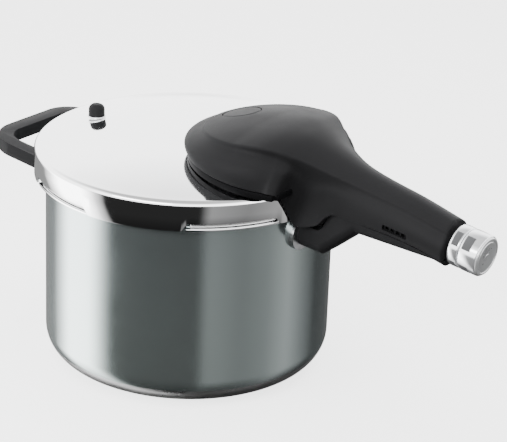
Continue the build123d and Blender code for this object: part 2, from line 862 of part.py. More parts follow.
ring_heights = (1.2, 4.4)
ring_depth = 0.7
ring_width = 1.6
with BuildPart() as indicator_cap:
    with Locations((indicator_x, 0, cap_base + 20)):
        Cylinder(indicator_radius, 40)
    add(outer_body.part, mode=Mode.INTERSECT)
    with Locations((indicator_x, 0, cap_base + 1.8)):
        Cylinder(indicator_radius - 2.2, 3.6, mode=Mode.SUBTRACT)
    with Locations((indicator_x, 0, cap_base + 1.8)):
        Cylinder(stem_radius + 2, 3.6)
    with Locations((indicator_x, 0, cap_base + 1.5)):
        Cylinder(stem_radius, 3.0, mode=Mode.SUBTRACT)
    for height in ring_heights:
        with BuildSketch(Plane.XY.offset(cap_base + height)):
            with Locations((indicator_x, 0)):
                Circle(indicator_radius + 1)
                Circle(indicator_radius - ring_depth, mode=Mode.SUBTRACT)
        extrude(amount=ring_width, mode=Mode.SUBTRACT)
save("indicator_cap", indicator_cap.part)

with BuildPart() as indicator_rings:
    for height in ring_heights:
        with BuildSketch(Plane.XY.offset(cap_base + height)):
            with Locations((indicator_x, 0)):
                Circle(indicator_radius)
                Circle(indicator_radius - ring_depth, mode=Mode.SUBTRACT)
        extrude(amount=ring_width)
save("indicator_rings", indicator_rings.part)

# ==== Stud and nut that hold the handle on the lid ====
stud_flange_top = dome_z(stud_x + 7, lid_sheet) - 0.1
nut_rest = base_top_z(stud_x - 5.5) + 0.1
with BuildPart() as handle_stud:
    with Locations((stud_x, 0, (nut_rest + 6.5 + stud_flange_top) / 2)):
        Cylinder(stud_radius, nut_rest + 6.5 - stud_flange_top)
    with Locations((stud_x, 0, stud_flange_top - 0.75)):
        Cylinder(7.0, 1.5)
save("handle_stud", handle_stud.part)

with BuildPart() as stud_nut:
    with BuildSketch(Plane.XY.offset(nut_rest)):
        with Locations((stud_x, 0)):
            RegularPolygon(4.8, 6, major_radius=False)
            Circle(stud_radius, mode=Mode.SUBTRACT)
    extrude(amount=4.5)
save("stud_nut", stud_nut.part)

# ==== Safety valve in the lid ====
bush_flange_z = dome_z(safety_radius - 7) + 0.1
safety_bush_low = dome_z(safety_radius + 6, lid_sheet) - 1.5
safety_stem = 2.0
cap_radius = 6.4
cap_height = 9.0
cap_grip = 4.0

with BuildPart() as safety_bush:
    with Locations((safety_x, safety_y, (bush_flange_z + 1.2 + safety_bush_low) / 2)):
        Cylinder(valve_hole, bush_flange_z + 1.2 - safety_bush_low)
    with Locations((safety_x, safety_y, bush_flange_z + 0.6)):
        Cylinder(7.0, 1.2)
    with Locations((safety_x, safety_y, bush_flange_z)):
        Cylinder(safety_stem + running, 60, mode=Mode.SUBTRACT)
save("safety_bush", safety_bush.part)

safety_cap_low = bush_flange_z + 1.2 + slack
safety_flange = safety_bush_low - safety_travel - 3.0
with BuildPart() as safety_pin:
    with Locations((safety_x, safety_y, (safety_cap_low + cap_grip + safety_flange) / 2)):
        Cylinder(safety_stem, safety_cap_low + cap_grip - safety_flange)
    with Locations((safety_x, safety_y, safety_flange - 0.7)):
        Cylinder(5.0, 1.4)
save("safety_pin", safety_pin.part)

with BuildPart() as safety_cap:
    with Locations((safety_x, safety_y, safety_cap_low + cap_height / 2)):
        Cylinder(cap_radius, cap_height)
    fillet(safety_cap.edges().group_by(Axis.Z)[-1], cap_radius * 0.6)
    chamfer(safety_cap.edges().group_by(Axis.Z)[0], 0.6)
    with Locations((safety_x, safety_y, safety_cap_low + cap_grip / 2)):
        Cylinder(safety_stem, cap_grip, mode=Mode.SUBTRACT)
save("safety_cap", safety_cap.part)

spring_low = safety_flange + 0.05
spring_high = safety_bush_low - 0.05
save("safety_spring", coil((safety_x, safety_y), spring_low, spring_high, 3.2, 3))

# ==== Pot handle and its fixing ====
root_low = lid_z - 50.0
guard_thickness = 3.0
arm_low = lid_z - 44.0
arm_height = 6.0
arm_half = 7.0
arm_end = pot_radius + 25.5
pot_screw_x = pot_radius + 13.5
bolt_recess = 22.0
pot_handle_sections = [
    (guard_thickness, 14.5, root_low, 9.0),
    (24.5, 18.0, root_low, 10.0),
    (54.5, 17.5, lid_z - 25.0, 9.0),
    (pot_handle_end - pot_radius - 9.7, knob_radius + 1.5, lid_z - 26.4, 9.0),
    (pot_handle_end - pot_radius + 1.8, knob_radius + 1.3, lid_z - 29.0, 9.0),
]

with BuildPart() as pot_handle:
    for past_wall, half_width, low, corner in pot_handle_sections:
        with BuildSketch(across_plane(pot_radius + past_wall, (low + lid_z) / 2)):
            RectangleRounded(2 * half_width, lid_z - low, corner)
    loft(ruled=True)
    add(above_seam.part, mode=Mode.SUBTRACT)
    with Locations((arm_end / 2, 0, arm_low + arm_height / 2)):
        Box(arm_end, 2 * arm_half, arm_height, mode=Mode.SUBTRACT)
    with Locations((pot_screw_x, 0, root_low + 2)):
        Cylinder(4.2, 6, mode=Mode.SUBTRACT)
    with Locations((pot_screw_x, 0, root_low + 6)):
        Cylinder(2.0, 16, mode=Mode.SUBTRACT)
    with BuildSketch(rod_plane(cam_start - 2 * slack)):
        with Locations((0, bolt_stem_low + 4)):
            Rectangle(2 * bolt_stem_half + 4 * slack, bolt_recess)
    extrude(amount=cam_length + 4 * slack, mode=Mode.SUBTRACT)
save("pot_handle", pot_handle.part)

with BuildPart() as flame_guard:
    with BuildSketch(across_plane(pot_radius - 12, (root_low + seam_low) / 2 - 1)):
        RectangleRounded(40, seam_low - root_low + 4, 11)
    extrude(amount=12 + guard_thickness)
    Cylinder(pot_radius, 3 * pot_height, mode=Mode.SUBTRACT)
    with Locations((arm_end / 2, 0, arm_low + arm_height / 2)):
        Box(arm_end, 2 * arm_half, arm_height, mode=Mode.SUBTRACT)
save("flame_guard", flame_guard.part)

with BuildPart() as pot_bracket:
    with Locations((pot_radius - 6 + (arm_end - pot_radius + 6) / 2, 0, arm_low + arm_height / 2)):
        Box(arm_end - pot_radius + 6, 2 * arm_half, arm_height)
    Cylinder(pot_radius, 3 * pot_height, mode=Mode.SUBTRACT)
    with Locations((pot_screw_x, 0, arm_low)):
        Cylinder(2.0, 40, mode=Mode.SUBTRACT)
save("pot_bracket", pot_bracket.part)

with BuildPart() as pot_handle_screw:
    with Locations((pot_screw_x, 0, root_low + 3.5)):
        Cylinder(4.0, 3)
    with Locations((pot_screw_x, 0, (root_low + 5 + arm_low + arm_height - 0.5) / 2)):
        Cylinder(2.0, arm_low + arm_height - 0.5 - root_low - 5)
save("pot_handle_screw", pot_handle_screw.part)

# ==== Side handle ====
tilt = radians(side_tilt)
side_z = lid_z - 32.0
side_lift = Plane(
    origin=(-pot_radius, 0, side_z),
    x_dir=(-cos(tilt), 0, sin(tilt)),
    z_dir=(sin(tilt), 0, cos(tilt)),
)
leg_angle = degrees(asin((side_half_width - side_bar / 2) / pot_radius))
leg_angles = (180 - leg_angle, 180 + leg_angle)
stud_z = side_z - (pot_radius - pot_radius * cos(radians(leg_angle))) * tan(tilt)
side_stud_radius = 3.0
side_stud_length = 6.0
side_screw_radius = 1.5
side_screw_length = 3.0


def screw_point(angle):
    """The middle of the screw that rises into a leg of the side handle, just under its stud."""
    out = pot_radius + side_stud_length / 2 + 0.4
    low = stud_z - side_stud_radius - side_screw_length / 2 - 0.2
    return (out * cos(radians(angle)), out * sin(radians(angle)), low)


with BuildPart() as side_handle:
    with BuildSketch(side_lift) as loop:
        with Locations(((side_reach - 45) / 2, 0)):
            RectangleRounded(side_reach + 45, 2 * side_half_width, 28)
        with Locations(((side_reach - side_bar - 60) / 2, 0)):
            RectangleRounded(side_reach - side_bar + 60, 2 * (side_half_width - side_bar), 16,
                             mode=Mode.SUBTRACT)
    extrude(amount=side_thickness / 2, both=True)
    Cylinder(pot_radius, 3 * pot_height, mode=Mode.SUBTRACT)
    with Locations((0, 0, claw_z - 1 + 50)):
        Cylinder(lid_radius + 1.0, 100, mode=Mode.SUBTRACT)
    for angle in leg_angles:
        with BuildSketch(facing_plane(angle)):
            with Locations((0, stud_z)):
                Circle(side_stud_radius)
        extrude(amount=pot_radius + side_stud_length, mode=Mode.SUBTRACT)
    with Locations(*[screw_point(angle) for angle in leg_angles]):
        Cylinder(side_screw_radius, 30, mode=Mode.SUBTRACT)
save("side_handle", side_handle.part)

with BuildPart() as side_studs:
    for angle in leg_angles:
        with BuildSketch(facing_plane(angle, pot_radius - side_stud_radius)):
            with Locations((0, stud_z)):
                Circle(side_stud_radius)
        extrude(amount=side_stud_radius + side_stud_length)
    Cylinder(pot_radius, 3 * pot_height, mode=Mode.SUBTRACT)
save("side_studs", side_studs.part)

with BuildPart() as side_screws:
    with Locations(*[screw_point(angle) for angle in leg_angles]):
        Cylinder(side_screw_radius, side_screw_length)
save("side_screws", side_screws.part)
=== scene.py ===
"""A stovetop pressure cooker: its visible surfaces and finishes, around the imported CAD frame.

Lengths are metres, in the CAD's own frame: +Z is up and the long handles point along +X.
"""

import json
from math import asin, atan2, cos, hypot, pi, radians, sin, sqrt, tan

import bpy
from mathutils import Matrix, Vector


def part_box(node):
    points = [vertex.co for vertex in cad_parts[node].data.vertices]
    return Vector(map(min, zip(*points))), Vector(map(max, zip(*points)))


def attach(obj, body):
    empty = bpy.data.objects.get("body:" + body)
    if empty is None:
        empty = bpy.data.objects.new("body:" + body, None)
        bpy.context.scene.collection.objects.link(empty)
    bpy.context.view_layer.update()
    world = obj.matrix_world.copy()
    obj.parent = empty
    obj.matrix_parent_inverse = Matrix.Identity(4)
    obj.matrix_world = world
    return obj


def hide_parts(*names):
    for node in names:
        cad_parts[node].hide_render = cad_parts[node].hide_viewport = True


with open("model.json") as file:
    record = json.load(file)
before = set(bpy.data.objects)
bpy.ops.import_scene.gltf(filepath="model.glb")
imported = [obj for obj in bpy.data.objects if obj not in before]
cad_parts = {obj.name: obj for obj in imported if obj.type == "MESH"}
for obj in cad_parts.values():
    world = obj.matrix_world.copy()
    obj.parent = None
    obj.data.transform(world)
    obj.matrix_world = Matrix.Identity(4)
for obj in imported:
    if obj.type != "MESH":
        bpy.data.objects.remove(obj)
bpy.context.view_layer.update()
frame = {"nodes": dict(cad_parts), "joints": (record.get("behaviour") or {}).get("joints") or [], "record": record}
bpy.ops.object.select_all(action="DESELECT")

MM = 0.001

# ---- Places read from the frame ----
pot_low, pot_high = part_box("pot_body")
lid_low, lid_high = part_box("lid_shell")
base_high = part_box("handle_base")[1]
button_low, button_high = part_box("indicator_cap")
valve_low, valve_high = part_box("safety_cap")
joints = {joint["name"]: joint for joint in frame["joints"]}
knob_joint = Vector(joints["knob_turn"]["pos_m"])
knob_axis = Vector(joints["knob_turn"]["axis"]).normalized()

lip_radius = pot_high.x
pot_radius = -pot_low.x - 1.0 * MM
pot_height = pot_high.z
lid_radius = lid_high.x
dome_rise = 11.0 * MM
lid_edge_z = lid_high.z - dome_rise
claw_z = lid_low.z
seam_z = lid_edge_z - 29.0 * MM
rim_x = lid_radius
head_radius = base_high.y
button_x = (button_low.x + button_high.x) / 2
button_radius = (button_high.y - button_low.y) / 2
head_x = button_x + 31.2 * MM
head_z = lid_edge_z + 4.2 * MM
head_slope = tan(radians(6))


# ==== Small tools for making and finishing meshes ====
def activate(piece):
    """Makes one piece the only one selected and the active one."""
    bpy.ops.object.select_all(action="DESELECT")
    piece.select_set(True)
    bpy.context.view_layer.objects.active = piece


def piece_from(name, points, edges=(), faces=()):
    """A new object from points in metres."""
    mesh = bpy.data.meshes.new(name)
    mesh.from_pydata([tuple(p) for p in points], list(edges), list(faces))
    piece = bpy.data.objects.new(name, mesh)
    bpy.context.collection.objects.link(piece)
    activate(piece)
    return piece


def clean(piece, distance=1e-6):
    """Merges doubled points and turns every face outward."""
    activate(piece)
    bpy.ops.object.mode_set(mode="EDIT")
    bpy.ops.mesh.select_all(action="SELECT")
    bpy.ops.mesh.remove_doubles(threshold=distance)
    bpy.ops.mesh.normals_make_consistent(inside=False)
    bpy.ops.object.mode_set(mode="OBJECT")


def modify(piece, kind, **settings):
    """Adds a modifier, sets it and applies it."""
    activate(piece)
    modifier = piece.modifiers.new(kind.title(), kind)
    for key, value in settings.items():
        setattr(modifier, key, value)
    bpy.ops.object.modifier_apply(modifier=modifier.name)


def soften(piece, width, segments=3, sharp=30):
    """Rounds every edge sharper than an angle."""
    modify(piece, "BEVEL", width=width, segments=segments, limit_method="ANGLE",
           angle_limit=radians(sharp), harden_normals=False)


def shade(piece, angle=35):
    """Shades smooth, with edges sharper than an angle kept crisp."""
    activate(piece)
    bpy.ops.object.shade_smooth_by_angle(angle=radians(angle))


def lathe(name, profile, steps=180, turn=2 * pi, start=0.0):
    """Spins a closed outline of (radius, height) points about the upright axis."""
    points = [(r * cos(start), r * sin(start), z) for r, z in profile]
    count = len(points)
    edges = [(i, (i + 1) % count) for i in range(count)]
    whole = turn > 2 * pi - 1e-6
    piece = piece_from(name, points, edges, [] if whole else [list(range(count))])
    bpy.ops.object.mode_set(mode="EDIT")
    bpy.ops.mesh.select_all(action="SELECT")
    bpy.ops.mesh.spin(steps=steps, angle=turn, center=(0, 0, 0), axis=(0, 0, 1))
    bpy.ops.object.mode_set(mode="OBJECT")
    clean(piece)
    return piece


def lathe_open(name, profile, steps=180):
    """Spins an open outline that starts and ends on the axis, so its poles close."""
    points = [(r, 0, z) for r, z in profile]
    edges = [(i, i + 1) for i in range(len(points) - 1)]
    piece = piece_from(name, points, edges)
    bpy.ops.object.mode_set(mode="EDIT")
    bpy.ops.mesh.select_all(action="SELECT")
    bpy.ops.mesh.spin(steps=steps, angle=2 * pi, center=(0, 0, 0), axis=(0, 0, 1))
    bpy.ops.object.mode_set(mode="OBJECT")
    clean(piece)
    return piece


def arc(centre_r, centre_z, radius, first, last, count):
    """Points along an arc of an outline, with angles in degrees."""
    return [
        (
            centre_r + radius * cos(radians(first + (last - first) * i / count)),
            centre_z + radius * sin(radians(first + (last - first) * i / count)),
        )
        for i in range(count + 1)
    ]


def join(name, pieces):
    """Joins pieces into the first one."""
    bpy.ops.object.select_all(action="DESELECT")
    for piece in pieces:
        piece.select_set(True)
    bpy.context.view_layer.objects.active = pieces[0]
    bpy.ops.object.join()
    pieces[0].name = name
    pieces[0].data.name = name
    return pieces[0]


def cut(piece, tool):
    """Cuts a tool's shape out of a piece and removes the tool."""
    modify(piece, "BOOLEAN", operation="DIFFERENCE", object=tool, solver="EXACT")
    bpy.data.objects.remove(tool)


def place(piece, matrix):
    """Moves a piece's mesh, leaving its object at the origin."""
    piece.data.transform(matrix)


def remade(node, width, segments=3, sharp=30, angle=35):
    """A copy of a CAD node with clean flats, rounded edges and smooth shading."""
    source = frame["nodes"][node]
    mesh = source.data.copy()
    piece = bpy.data.objects.new(node + "_finished", mesh)
    bpy.context.collection.objects.link(piece)
    mesh.materials.clear()
    activate(piece)
    bpy.ops.object.mode_set(mode="EDIT")
    bpy.ops.mesh.select_all(action="SELECT")
    bpy.ops.mesh.remove_doubles(threshold=2e-6)
    bpy.ops.mesh.customdata_custom_splitnormals_clear()
    bpy.ops.mesh.dissolve_limited(angle_limit=radians(0.6))
    bpy.ops.mesh.normals_make_consistent(inside=False)
    bpy.ops.object.mode_set(mode="OBJECT")
    if width:
        soften(piece, width, segments, sharp)
    shade(piece, angle)
    return piece


def finish_piece(piece, body, slot, look, *nodes):
    """Gives a piece its body and finish, and hides the CAD nodes that it stands for; its slot is not used."""
    piece.data.materials.clear()
    piece.data.materials.append(look)
    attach(piece, body)
    if nodes:
        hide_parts(*nodes)


def ease(t):
    """A smooth step from 0 to 1."""
    t = max(0.0, min(1.0, t))
    return t * t * (3 - 2 * t)


def along(table, x):
    """A smooth curve through a table of (place, value) pairs, read at a place."""
    if x <= table[0][0]:
        return table[0][1]
    if x >= table[-1][0]:
        return table[-1][1]
    i = max(k for k in range(len(table) - 1) if table[k][0] <= x)
    (x0, y0), (x1, y1) = table[i], table[i + 1]

    def tangent(k):
        if k in (0, len(table) - 1):
            j = 0 if k == 0 else k - 1
            return (table[j + 1][1] - table[j][1]) / (table[j + 1][0] - table[j][0])
        return (table[k + 1][1] - table[k - 1][1]) / (table[k + 1][0] - table[k - 1][0])

    h = x1 - x0
    t = (x - x0) / h
    return (
        y0 * (2 * t**3 - 3 * t**2 + 1)
        + y1 * (3 * t**2 - 2 * t**3)
        + tangent(i) * h * (t**3 - 2 * t**2 + t)
        + tangent(i + 1) * h * (t**3 - t**2)
    )


# ==== Effects shared by several finishes ====
def new_group(name, inputs, outputs):
    """An empty shader group with named sockets: (name, type, default) in, (name, type) out."""
    group = bpy.data.node_groups.new(name, "ShaderNodeTree")
    for label, kind, default in inputs:
        socket = group.interface.new_socket(name=label, in_out="INPUT", socket_type=kind)
        socket.default_value = default
    for label, kind in outputs:
        group.interface.new_socket(name=label, in_out="OUTPUT", socket_type=kind)
    return group, group.nodes.new("NodeGroupInput"), group.nodes.new("NodeGroupOutput")


def noise_node(tree, scale=None, detail=3.0, roughness=0.5):
    """A noise texture node in a tree."""
    node = tree.nodes.new("ShaderNodeTexNoise")
    if scale is not None:
        node.inputs["Scale"].default_value = scale
    node.inputs["Detail"].default_value = detail
    node.inputs["Roughness"].default_value = roughness
    return node


def moulded_grain_group():
    """Fine pebbled grain of a moulded surface: a normal, and a mask for its roughness."""
    group, sockets, result = new_group(
        "moulded_grain",
        [("Scale", "NodeSocketFloat", 1500.0), ("Depth", "NodeSocketFloat", 0.2)],
        [("Normal", "NodeSocketVector"), ("Mask", "NodeSocketFloat")],
    )
    link = group.links.new
    place_node = group.nodes.new("ShaderNodeTexCoord")
    cells = group.nodes.new("ShaderNodeTexVoronoi")
    cells.feature = "SMOOTH_F1"
    fine = noise_node(group, detail=4.0)
    mix = group.nodes.new("ShaderNodeMath")
    mix.operation = "ADD"
    bump = group.nodes.new("ShaderNodeBump")
    bump.inputs["Distance"].default_value = 0.00012
    link(place_node.outputs["Object"], cells.inputs["Vector"])
    link(place_node.outputs["Object"], fine.inputs["Vector"])
    link(sockets.outputs["Scale"], cells.inputs["Scale"])
    link(sockets.outputs["Scale"], fine.inputs["Scale"])
    link(cells.outputs["Distance"], mix.inputs[0])
    link(fine.outputs["Fac"], mix.inputs[1])
    link(mix.outputs[0], bump.inputs["Height"])
    link(sockets.outputs["Depth"], bump.inputs["Strength"])
    link(bump.outputs["Normal"], result.inputs["Normal"])
    link(fine.outputs["Fac"], result.inputs["Mask"])
    return group


def handling_group():
    """Faint patches left by hands and cloths, as a value that changes over the surface."""
    group, sockets, result = new_group(
        "handling",
        [
            ("Scale", "NodeSocketFloat", 30.0),
            ("Low", "NodeSocketFloat", 0.1),
            ("High", "NodeSocketFloat", 0.2),
        ],
        [("Value", "NodeSocketFloat")],
    )
    link = group.links.new
    place_node = group.nodes.new("ShaderNodeTexCoord")
    patches = noise_node(group, detail=5.0, roughness=0.6)
    spread = group.nodes.new("ShaderNodeMapRange")
    spread.inputs["From Min"].default_value = 0.35
    spread.inputs["From Max"].default_value = 0.7
    link(place_node.outputs["Object"], patches.inputs["Vector"])
    link(sockets.outputs["Scale"], patches.inputs["Scale"])
    link(patches.outputs["Fac"], spread.inputs["Value"])
    link(sockets.outputs["Low"], spread.inputs["To Min"])
    link(sockets.outputs["High"], spread.inputs["To Max"])
    link(spread.outputs["Result"], result.inputs["Value"])
    return group


def worn_edge_group():
    """A mask that is strongest on outside edges, broken up by a little noise."""
    group, sockets, result = new_group(
        "worn_edge",
        [("Amount", "NodeSocketFloat", 0.5)],
        [("Mask", "NodeSocketFloat")],
    )
    link = group.links.new
    geometry = group.nodes.new("ShaderNodeNewGeometry")
    edge = group.nodes.new("ShaderNodeMapRange")
    edge.inputs["From Min"].default_value = 0.52
    edge.inputs["From Max"].default_value = 0.62
    breakup = noise_node(group, scale=220.0, detail=4.0)
    product = group.nodes.new("ShaderNodeMath")
    product.operation = "MULTIPLY"
    amount = group.nodes.new("ShaderNodeMath")
    amount.operation = "MULTIPLY"
    amount.use_clamp = True
    place_node = group.nodes.new("ShaderNodeTexCoord")
    link(place_node.outputs["Object"], breakup.inputs["Vector"])
    link(geometry.outputs["Pointiness"], edge.inputs["Value"])
    link(edge.outputs["Result"], product.inputs[0])
    link(breakup.outputs["Fac"], product.inputs[1])
    link(product.outputs[0], amount.inputs[0])
    link(sockets.outputs["Amount"], amount.inputs[1])
    link(amount.outputs[0], result.inputs["Mask"])
    return group


def drawn_lines_group():
    """Fine lines drawn along one direction of the object's own coordinates."""
    group, sockets, result = new_group(
        "drawn_lines",
        [("Stretch", "NodeSocketVector", (40.0, 40.0, 3000.0)), ("Depth", "NodeSocketFloat", 0.1)],
        [("Normal", "NodeSocketVector"), ("Mask", "NodeSocketFloat")],
    )
    link = group.links.new
    place_node = group.nodes.new("ShaderNodeTexCoord")
    stretch = group.nodes.new("ShaderNodeVectorMath")
    stretch.operation = "MULTIPLY"
    lines = noise_node(group, scale=1.0, detail=3.0)
    bump = group.nodes.new("ShaderNodeBump")
    bump.inputs["Distance"].default_value = 0.00005
    link(place_node.outputs["Object"], stretch.inputs[0])
    link(sockets.outputs["Stretch"], stretch.inputs[1])
    link(stretch.outputs[0], lines.inputs["Vector"])
    link(lines.outputs["Fac"], bump.inputs["Height"])
    link(sockets.outputs["Depth"], bump.inputs["Strength"])
    link(bump.outputs["Normal"], result.inputs["Normal"])
    link(lines.outputs["Fac"], result.inputs["Mask"])
    return group


moulded_grain = moulded_grain_group()
handling = handling_group()
worn_edge = worn_edge_group()
drawn_lines = drawn_lines_group()


# ==== Finishes ====
def new_material(name, metallic, roughness, **sockets):
    """A material with its Principled shader's plain values set."""
    look = bpy.data.materials.new(name)
    look.use_nodes = True
    shader = look.node_tree.nodes["Principled BSDF"]
    shader.inputs["Metallic"].default_value = metallic
    shader.inputs["Roughness"].default_value = roughness
    for key, value in sockets.items():
        socket = key.replace("_", " ").title().replace("Ior", "IOR")
        shader.inputs[socket].default_value = value
    return look, look.node_tree, shader


def add_effect(tree, group, **values):
    """Places a shared effect in a material with its own values."""
    node = tree.nodes.new("ShaderNodeGroup")
    node.node_tree = group
    for key, value in values.items():
        node.inputs[key].default_value = value
    return node


def mix_colours(tree, mask, first, second):
    """Mixes two colours by a mask socket and returns the mix node's output."""
    mix = tree.nodes.new("ShaderNodeMix")
    mix.data_type = "RGBA"
    mix.inputs["A"].default_value = (*first, 1)
    mix.inputs["B"].default_value = (*second, 1)
    tree.links.new(mask, mix.inputs["Factor"])
    return mix.outputs["Result"]


def moulded_plastic(name, dark, light, rough_low, rough_high, depth=0.25, scale=1500.0):
    """A satin moulded plastic with grain, handling marks and lighter worn edges."""
    look, tree, shader = new_material(name, 0.0, rough_low, specular_ior_level=0.03)
    grain = add_effect(tree, moulded_grain, Scale=scale, Depth=depth)
    hands = add_effect(tree, handling, Scale=28.0, Low=rough_low, High=rough_high)
    wear = add_effect(tree, worn_edge, Amount=0.6)
    colour = mix_colours(tree, wear.outputs["Mask"], dark, light)
    tree.links.new(colour, shader.inputs["Base Color"])
    tree.links.new(hands.outputs["Value"], shader.inputs["Roughness"])
    tree.links.new(grain.outputs["Normal"], shader.inputs["Normal"])
    return look


def polished_metal(name, colour, tint, rough_low, rough_high, scale=18.0, metallic=1.0):
    """A mirror-polished metal with faint cloth and finger marks."""
    look, tree, shader = new_material(name, metallic, rough_low)
    patches = add_effect(tree, handling, Scale=scale, Low=0.0, High=1.0)
    hands = add_effect(tree, handling, Scale=scale * 2, Low=rough_low, High=rough_high)
    mixed = mix_colours(tree, patches.outputs["Value"], colour, tint)
    tree.links.new(mixed, shader.inputs["Base Color"])
    tree.links.new(hands.outputs["Value"], shader.inputs["Roughness"])
    return look


def brushed_metal(name, colour, tint, stretch, depth=0.15, rough=0.3):
    """A metal with fine drawn lines."""
    look, tree, shader = new_material(name, 1.0, rough)
    lines = add_effect(tree, drawn_lines, Stretch=stretch, Depth=depth)
    hands = add_effect(tree, handling, Scale=60.0, Low=rough - 0.06, High=rough + 0.08)
    mixed = mix_colours(tree, lines.outputs["Mask"], colour, tint)
    tree.links.new(mixed, shader.inputs["Base Color"])
    tree.links.new(hands.outputs["Value"], shader.inputs["Roughness"])
    tree.links.new(lines.outputs["Normal"], shader.inputs["Normal"])
    return look


def pot_enamel():
    """Glossy metallic enamel: fine flake under a clear coat, slate with a green cast."""
    look, tree, shader = new_material(
        "pot_enamel", 0.86, 0.2, coat_weight=0.3, coat_roughness=0.04
    )
    flake = noise_node(tree, scale=2600.0, detail=2.0)
    cloud = noise_node(tree, scale=5.0, detail=2.0)
    coordinates = tree.nodes.new("ShaderNodeTexCoord")
    tree.links.new(coordinates.outputs["Object"], flake.inputs["Vector"])
    tree.links.new(coordinates.outputs["Object"], cloud.inputs["Vector"])
    colour = mix_colours(tree, cloud.outputs["Fac"], (0.40, 0.45, 0.475), (0.43, 0.50, 0.465))
    tree.links.new(colour, shader.inputs["Base Color"])
    hands = add_effect(tree, handling, Scale=14.0, Low=0.15, High=0.2)
    tree.links.new(hands.outputs["Value"], shader.inputs["Roughness"])
    bump = tree.nodes.new("ShaderNodeBump")
    bump.inputs["Strength"].default_value = 0.03
    bump.inputs["Distance"].default_value = 0.00004
    tree.links.new(flake.outputs["Fac"], bump.inputs["Height"])
    tree.links.new(bump.outputs["Normal"], shader.inputs["Normal"])
    return look


def turned_metal(name, colour, tint, centre, axis):
    """A metal end face with fine rings left by turning, round an axis."""
    look, tree, shader = new_material(name, 0.55, 0.3)
    coordinates = tree.nodes.new("ShaderNodeTexCoord")
    mapping = tree.nodes.new("ShaderNodeMapping")
    mapping.vector_type = "TEXTURE"
    mapping.inputs["Location"].default_value = centre
    mapping.inputs["Rotation"].default_value = axis.to_track_quat("Z", "Y").to_euler()
    flatten = tree.nodes.new("ShaderNodeVectorMath")
    flatten.operation = "MULTIPLY"
    flatten.inputs[1].default_value = (1, 1, 0)
    length = tree.nodes.new("ShaderNodeVectorMath")
    length.operation = "LENGTH"
    rings = tree.nodes.new("ShaderNodeTexNoise")
    rings.noise_dimensions = "1D"
    rings.inputs["Scale"].default_value = 3500.0
    bump = tree.nodes.new("ShaderNodeBump")
    bump.inputs["Strength"].default_value = 0.25
    bump.inputs["Distance"].default_value = 0.00006
    tree.links.new(coordinates.outputs["Object"], mapping.inputs["Vector"])
    tree.links.new(mapping.outputs["Vector"], flatten.inputs[0])
    tree.links.new(flatten.outputs[0], length.inputs[0])
    tree.links.new(length.outputs["Value"], rings.inputs["W"])
    mixed = mix_colours(tree, rings.outputs["Fac"], colour, tint)
    tree.links.new(mixed, shader.inputs["Base Color"])
    tree.links.new(rings.outputs["Fac"], bump.inputs["Height"])
    tree.links.new(bump.outputs["Normal"], shader.inputs["Normal"])
    hands = add_effect(tree, handling, Scale=90.0, Low=0.26, High=0.36)
    tree.links.new(hands.outputs["Value"], shader.inputs["Roughness"])
    return look


enamel = pot_enamel()
mirror_steel = polished_metal("mirror_steel", (0.88, 0.88, 0.88), (0.84, 0.85, 0.86), 0.05, 0.1)
pot_inside = brushed_metal("pot_inside", (0.62, 0.62, 0.62), (0.7, 0.7, 0.7), (30, 30, 1500))
brushed_steel = brushed_metal(
    "brushed_steel", (0.55, 0.56, 0.57), (0.66, 0.66, 0.67), (60, 60, 2600)
)
spring_steel = brushed_metal("spring_steel", (0.4, 0.41, 0.43), (0.5, 0.51, 0.52), (900, 900, 90))
handle_plastic = moulded_plastic(
    "handle_plastic", (0.020, 0.020, 0.021), (0.045, 0.045, 0.046), 0.40, 0.50
)
band_plastic = moulded_plastic(
    "band_plastic", (0.006, 0.006, 0.0065), (0.015, 0.015, 0.016), 0.4, 0.5
)
bearing_plastic = moulded_plastic(
    "bearing_plastic", (0.55, 0.53, 0.48), (0.66, 0.64, 0.6), 0.4, 0.5, 0.12
)
warning_plastic = moulded_plastic(
    "warning_plastic", (0.75, 0.22, 0.03), (0.85, 0.36, 0.12), 0.35, 0.45, 0.1
)
seal_rubber = moulded_plastic(
    "seal_rubber", (0.025, 0.025, 0.027), (0.06, 0.06, 0.062), 0.55, 0.7, 0.3, 900.0
)
membrane_rubber = moulded_plastic(
    "membrane_rubber", (0.32, 0.06, 0.045), (0.42, 0.12, 0.1), 0.5, 0.62, 0.2, 900.0
)
knob_chrome = polished_metal(
    "knob_chrome", (0.86, 0.87, 0.88), (0.8, 0.81, 0.83), 0.1, 0.18, 90.0, 0.7
)
knob_window = moulded_plastic(
    "knob_window", (0.12, 0.122, 0.125), (0.2, 0.2, 0.21), 0.3, 0.4, 0.1
)
knob_end = turned_metal(
    "knob_end", (0.62, 0.63, 0.64), (0.74, 0.745, 0.75), knob_joint, knob_axis
)

# ==== Pot ====
base_corner = 24.0 * MM
inner_corner = 18.0 * MM
wall = 2.5 * MM
floor_top = 6.0 * MM


